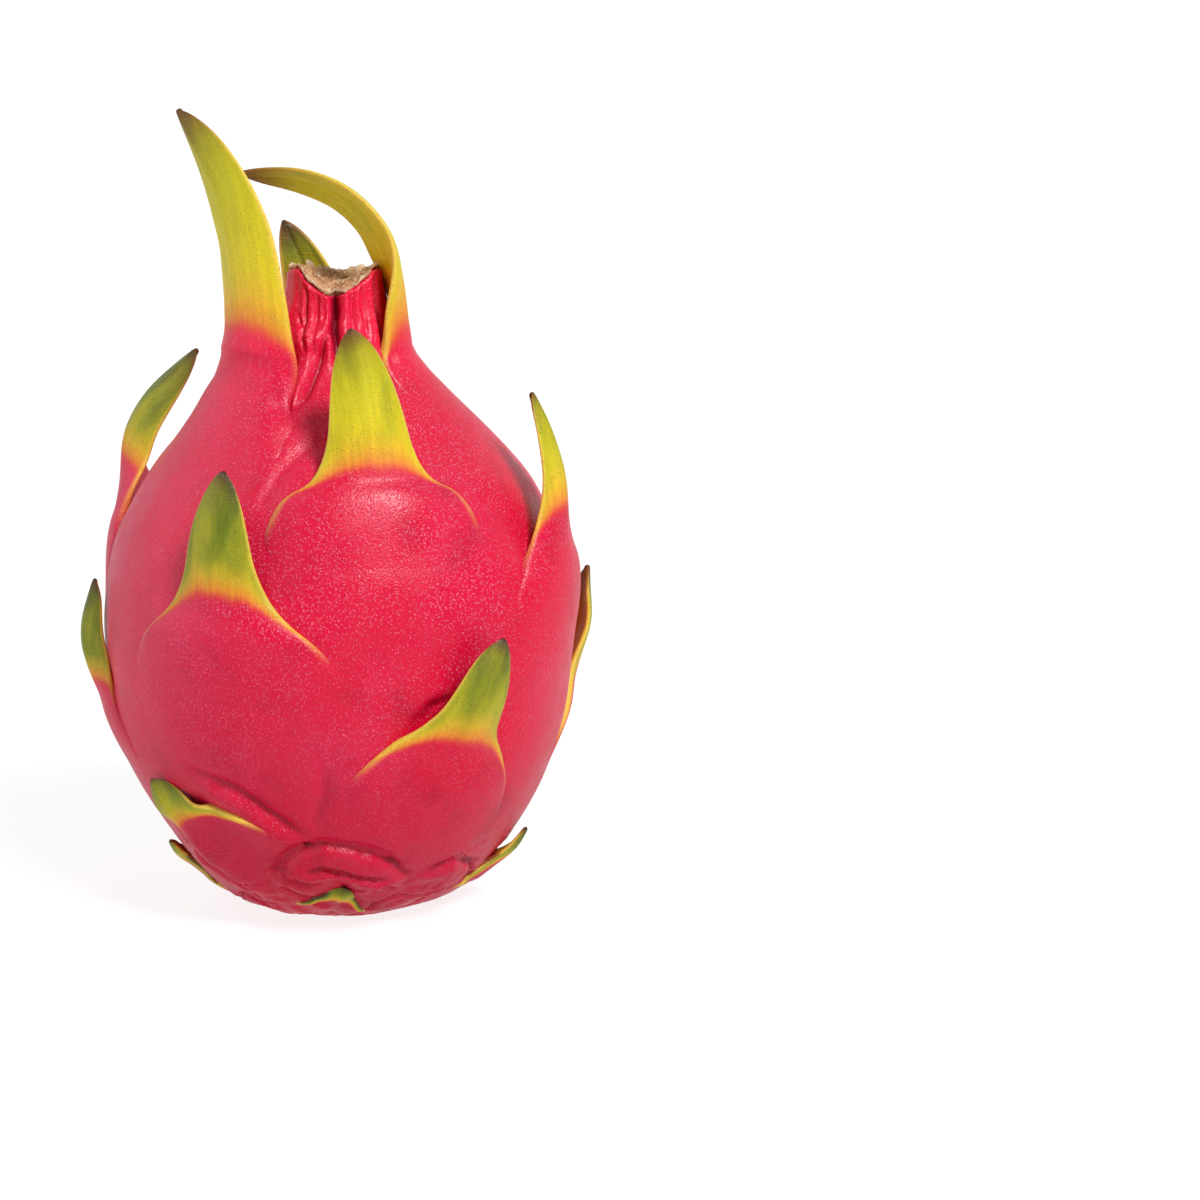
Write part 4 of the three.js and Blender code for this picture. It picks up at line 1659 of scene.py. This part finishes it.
@dataclass
class DryFlowerEnd:
    """The torn, dry tissue in the neck's cup.

    Attributes:
        rind: The surface whose rim it follows.
        segments: Segments round it.
    """

    rind: Rind
    segments: int = 160

    # Noise, each layer as (height, size of its lumps, seed).
    TORN = ((0.8, 2.2, 4.0), (0.7, 0.8, 9.0))
    CRUMPLED = ((1.1, 2.6, 6.0), (0.5, 1.0, 2.0))
    # The torn lip that stands on the rim, and the dish inside it.
    LIP_HEIGHT = 1.2
    LIP_FLARE = 0.05
    DISH_DEPTH = 1.8
    PAPERY = 0.6
    # Shares of the neck's radius, out from the middle, where the dish moves with the rim.
    CRUMPLED_BY = 0.6
    DROPPED_BY = 0.8
    PULLED = (0.45, 0.95)

    def outline(self) -> Array:
        """Draw its outline, from the middle of its foot to the middle of its dish.

        Returns:
            Its (radius, height) rows.
        """
        top = self.rind.neck_top
        rim = self.rind.neck_radius
        return np.array(
            [
                (0.0, top - 3.7),
                (rim - 2.2, top - 3.7),
                (rim - 1.75, top - 2.0),
                (rim - 1.55, top - 0.3),
                (rim - 1.1, top + 0.4),
                (rim - 0.7, top + 0.7),
                (rim - 0.4, top + 0.8),
                (rim - 0.32, top + 1.2),
                (rim - 0.5, top + 1.5),
                (rim - 0.8, top + 1.4),
                (rim - 1.05, top + 0.9),
                (rim - 1.5, top + 0.4),
                (rim - 2.1, top + 0.0),
                (rim - 2.9, top - 0.3),
                (rim - 3.6, top - 0.8),
                (rim - 4.4, top - 1.1),
                (rim - 5.3, top - 1.3),
                (rim - 6.3, top - 1.4),
                (rim - 7.4, top - 1.4),
                (0.0, top - 1.4),
            ]
        )

    def build(self, finish: DryFinish) -> Piece:
        """Spin the dish, crumple it and tear its rim.

        Args:
            finish: What it is dressed in.

        Returns:
            The finished piece.
        """
        rind = self.rind
        piece = spun_skin("dry_flower_tube_end", self.outline(), self.segments)
        places = places_of(piece)
        azimuth = np.arctan2(places[:, 1], places[:, 0])
        radius = np.hypot(places[:, 0], places[:, 1])
        height = places[:, 2]
        lip = smooth(height, rind.neck_top, rind.neck_top + self.LIP_HEIGHT)
        rim = rind.place(azimuth, np.full(azimuth.shape, rind.arcs[-1]), 0.0)
        torn = layered(round_axis(azimuth, rind.neck_radius, 0.0), self.TORN)
        dish = smooth(radius, 0.0, rind.neck_radius * self.CRUMPLED_BY) * (1 - lip)
        dish = np.where(height > rind.neck_top - self.DISH_DEPTH, dish, 0.0)
        near_rim = smooth(radius, *(share * rind.neck_radius for share in self.PULLED))
        pull = mix(1.0, np.hypot(rim[:, 0], rim[:, 1]) / rind.neck_radius, near_rim)
        drop = rind.rim_drop(azimuth) * smooth(radius, 0.0, rind.neck_radius * self.DROPPED_BY)
        moved = places.copy()
        moved[:, :2] *= (pull + self.LIP_FLARE * torn * lip)[:, None]
        moved[:, 2] += lip * torn + dish * layered(places, self.CRUMPLED) - drop
        move_points(piece, moved)
        add_reading(piece, "papery", lip * mix(self.PAPERY, 1.0, torn))
        piece.data.materials.append(finish.material())
        return piece


# ---- Studio ----


@dataclass
class Studio:
    """The plain floor, the soft lights and the camera.

    Attributes:
        floor_size: The floor's side, in metres.
        sky_from: How far towards the front the sky starts to brighten, from -1 to 1.
        lens: The camera's focal length, in millimetres.
        film: The width of its film, in millimetres.
        distance: How far it stands from what it aims at, in metres.
        elevation: Degrees that it looks down by.
        aim: What it aims at, in metres.
    """

    floor_size: float = 300.0
    sky_from: float = -0.4
    lens: float = 100.0
    film: float = 36.0
    distance: float = 0.66
    elevation: float = 12.0
    aim: Triple = (0.0515, 0.0, 0.060)

    def build(self, finish: FloorFinish) -> None:
        """Lay the floor, hang the lights and set up the camera.

        Args:
            finish: The floor's finish.
        """
        clear_bench()
        bpy.ops.mesh.primitive_plane_add(size=self.floor_size)
        floor = bpy.context.object
        floor.name = "floor"
        floor.data.materials.append(finish.material())
        floor.visible_glossy = False
        self._sun("key", azimuth=38, elevation=45, strength=2.7, spread=18)
        self._sun("left_fill", azimuth=-78, elevation=26, strength=0.85, spread=80)
        self._sky(front=0.03, back=0.72)
        self._camera()

    def _sun(self, name: str, azimuth: float, elevation: float, strength: float, spread: float) -> None:
        """Hang a distant soft light.

        Args:
            name: The light's name.
            azimuth: Degrees round to the camera's right from straight in front of the fruit.
            elevation: Degrees above the horizon.
            strength: How bright it is.
            spread: How wide it looks from the fruit, in degrees.
        """
        light = bpy.data.lights.new(name, "SUN")
        light.energy = strength
        light.angle = math.radians(spread)
        lamp = bpy.data.objects.new(name, light)
        bpy.context.collection.objects.link(lamp)
        turn, rise = math.radians(azimuth), math.radians(elevation)
        level = math.cos(rise)
        towards = Vector((math.sin(turn) * level, -math.cos(turn) * level, math.sin(rise)))
        lamp.rotation_euler = towards.to_track_quat("Z", "Y").to_euler()
        lamp.location = towards

    def _sky(self, front: float, back: float) -> None:
        """Surround the floor with white light, stronger behind the fruit than in front of it.

        The camera itself sees plain white all round.

        Args:
            front: How bright the light is from behind the camera.
            back: How bright it is from behind the fruit.
        """
        world = bpy.data.worlds.new("studio_white")
        world.use_nodes = True
        tree = world.node_tree
        background = tree.nodes["Background"]
        background.inputs["Color"].default_value = (1.0, 1.0, 1.0, 1.0)
        direction = tree.nodes.new("ShaderNodeTexCoord")
        apart = tree.nodes.new("ShaderNodeSeparateXYZ")
        spread = tree.nodes.new("ShaderNodeMapRange")
        spread.inputs["From Min"].default_value = self.sky_from
        spread.inputs["To Min"].default_value = front
        spread.inputs["To Max"].default_value = back
        tree.links.new(direction.outputs["Generated"], apart.inputs[0])
        tree.links.new(apart.outputs["Y"], spread.inputs["Value"])
        seen = tree.nodes.new("ShaderNodeMath")
        seen.operation = "MAXIMUM"
        rays = tree.nodes.new("ShaderNodeLightPath")
        tree.links.new(rays.outputs["Is Camera Ray"], seen.inputs[0])
        tree.links.new(spread.outputs["Result"], seen.inputs[1])
        tree.links.new(seen.outputs[0], background.inputs["Strength"])
        bpy.context.scene.world = world

    def _camera(self) -> None:
        """Stand the camera in front of the fruit, a little above it."""
        data = bpy.data.cameras.new("camera")
        data.lens = self.lens
        data.sensor_width = self.film
        camera = bpy.data.objects.new("camera", data)
        bpy.context.collection.objects.link(camera)
        rise = math.radians(self.elevation)
        back = Vector((0.0, -math.cos(rise), math.sin(rise)))
        camera.location = Vector(self.aim) + back * self.distance
        camera.rotation_euler = back.to_track_quat("Z", "Y").to_euler()
        bpy.context.scene.camera = camera
        bpy.context.scene.view_settings.view_transform = "Standard"


def main() -> None:
    """Build the fruit piece by piece and stand it in the studio."""
    logging.basicConfig(level=logging.INFO, format="%(message)s")
    rind = Rind()
    for bract in BRACTS:
        rind.swellings += bract.swellings(rind)
    rind_finish = RindFinish()
    body = FruitBody(rind).build(rind_finish)
    fit_to_frame(body, "fruit_body")
    outer = BractFinish(BractSide.OUTER, LIME_OUTER, OLIVE_OUTER).material(rind_finish)
    inner = BractFinish(BractSide.INNER, LIME_INNER, OLIVE_INNER).material(rind_finish)
    for bract in BRACTS:
        fit_to_frame(bract.build(rind, outer, inner), bract.name)
    dry_end = DryFlowerEnd(rind).build(DryFinish())
    fit_to_frame(dry_end, "dry_flower_end")
    Studio().build(FloorFinish())


if __name__ == "__main__":
    main()
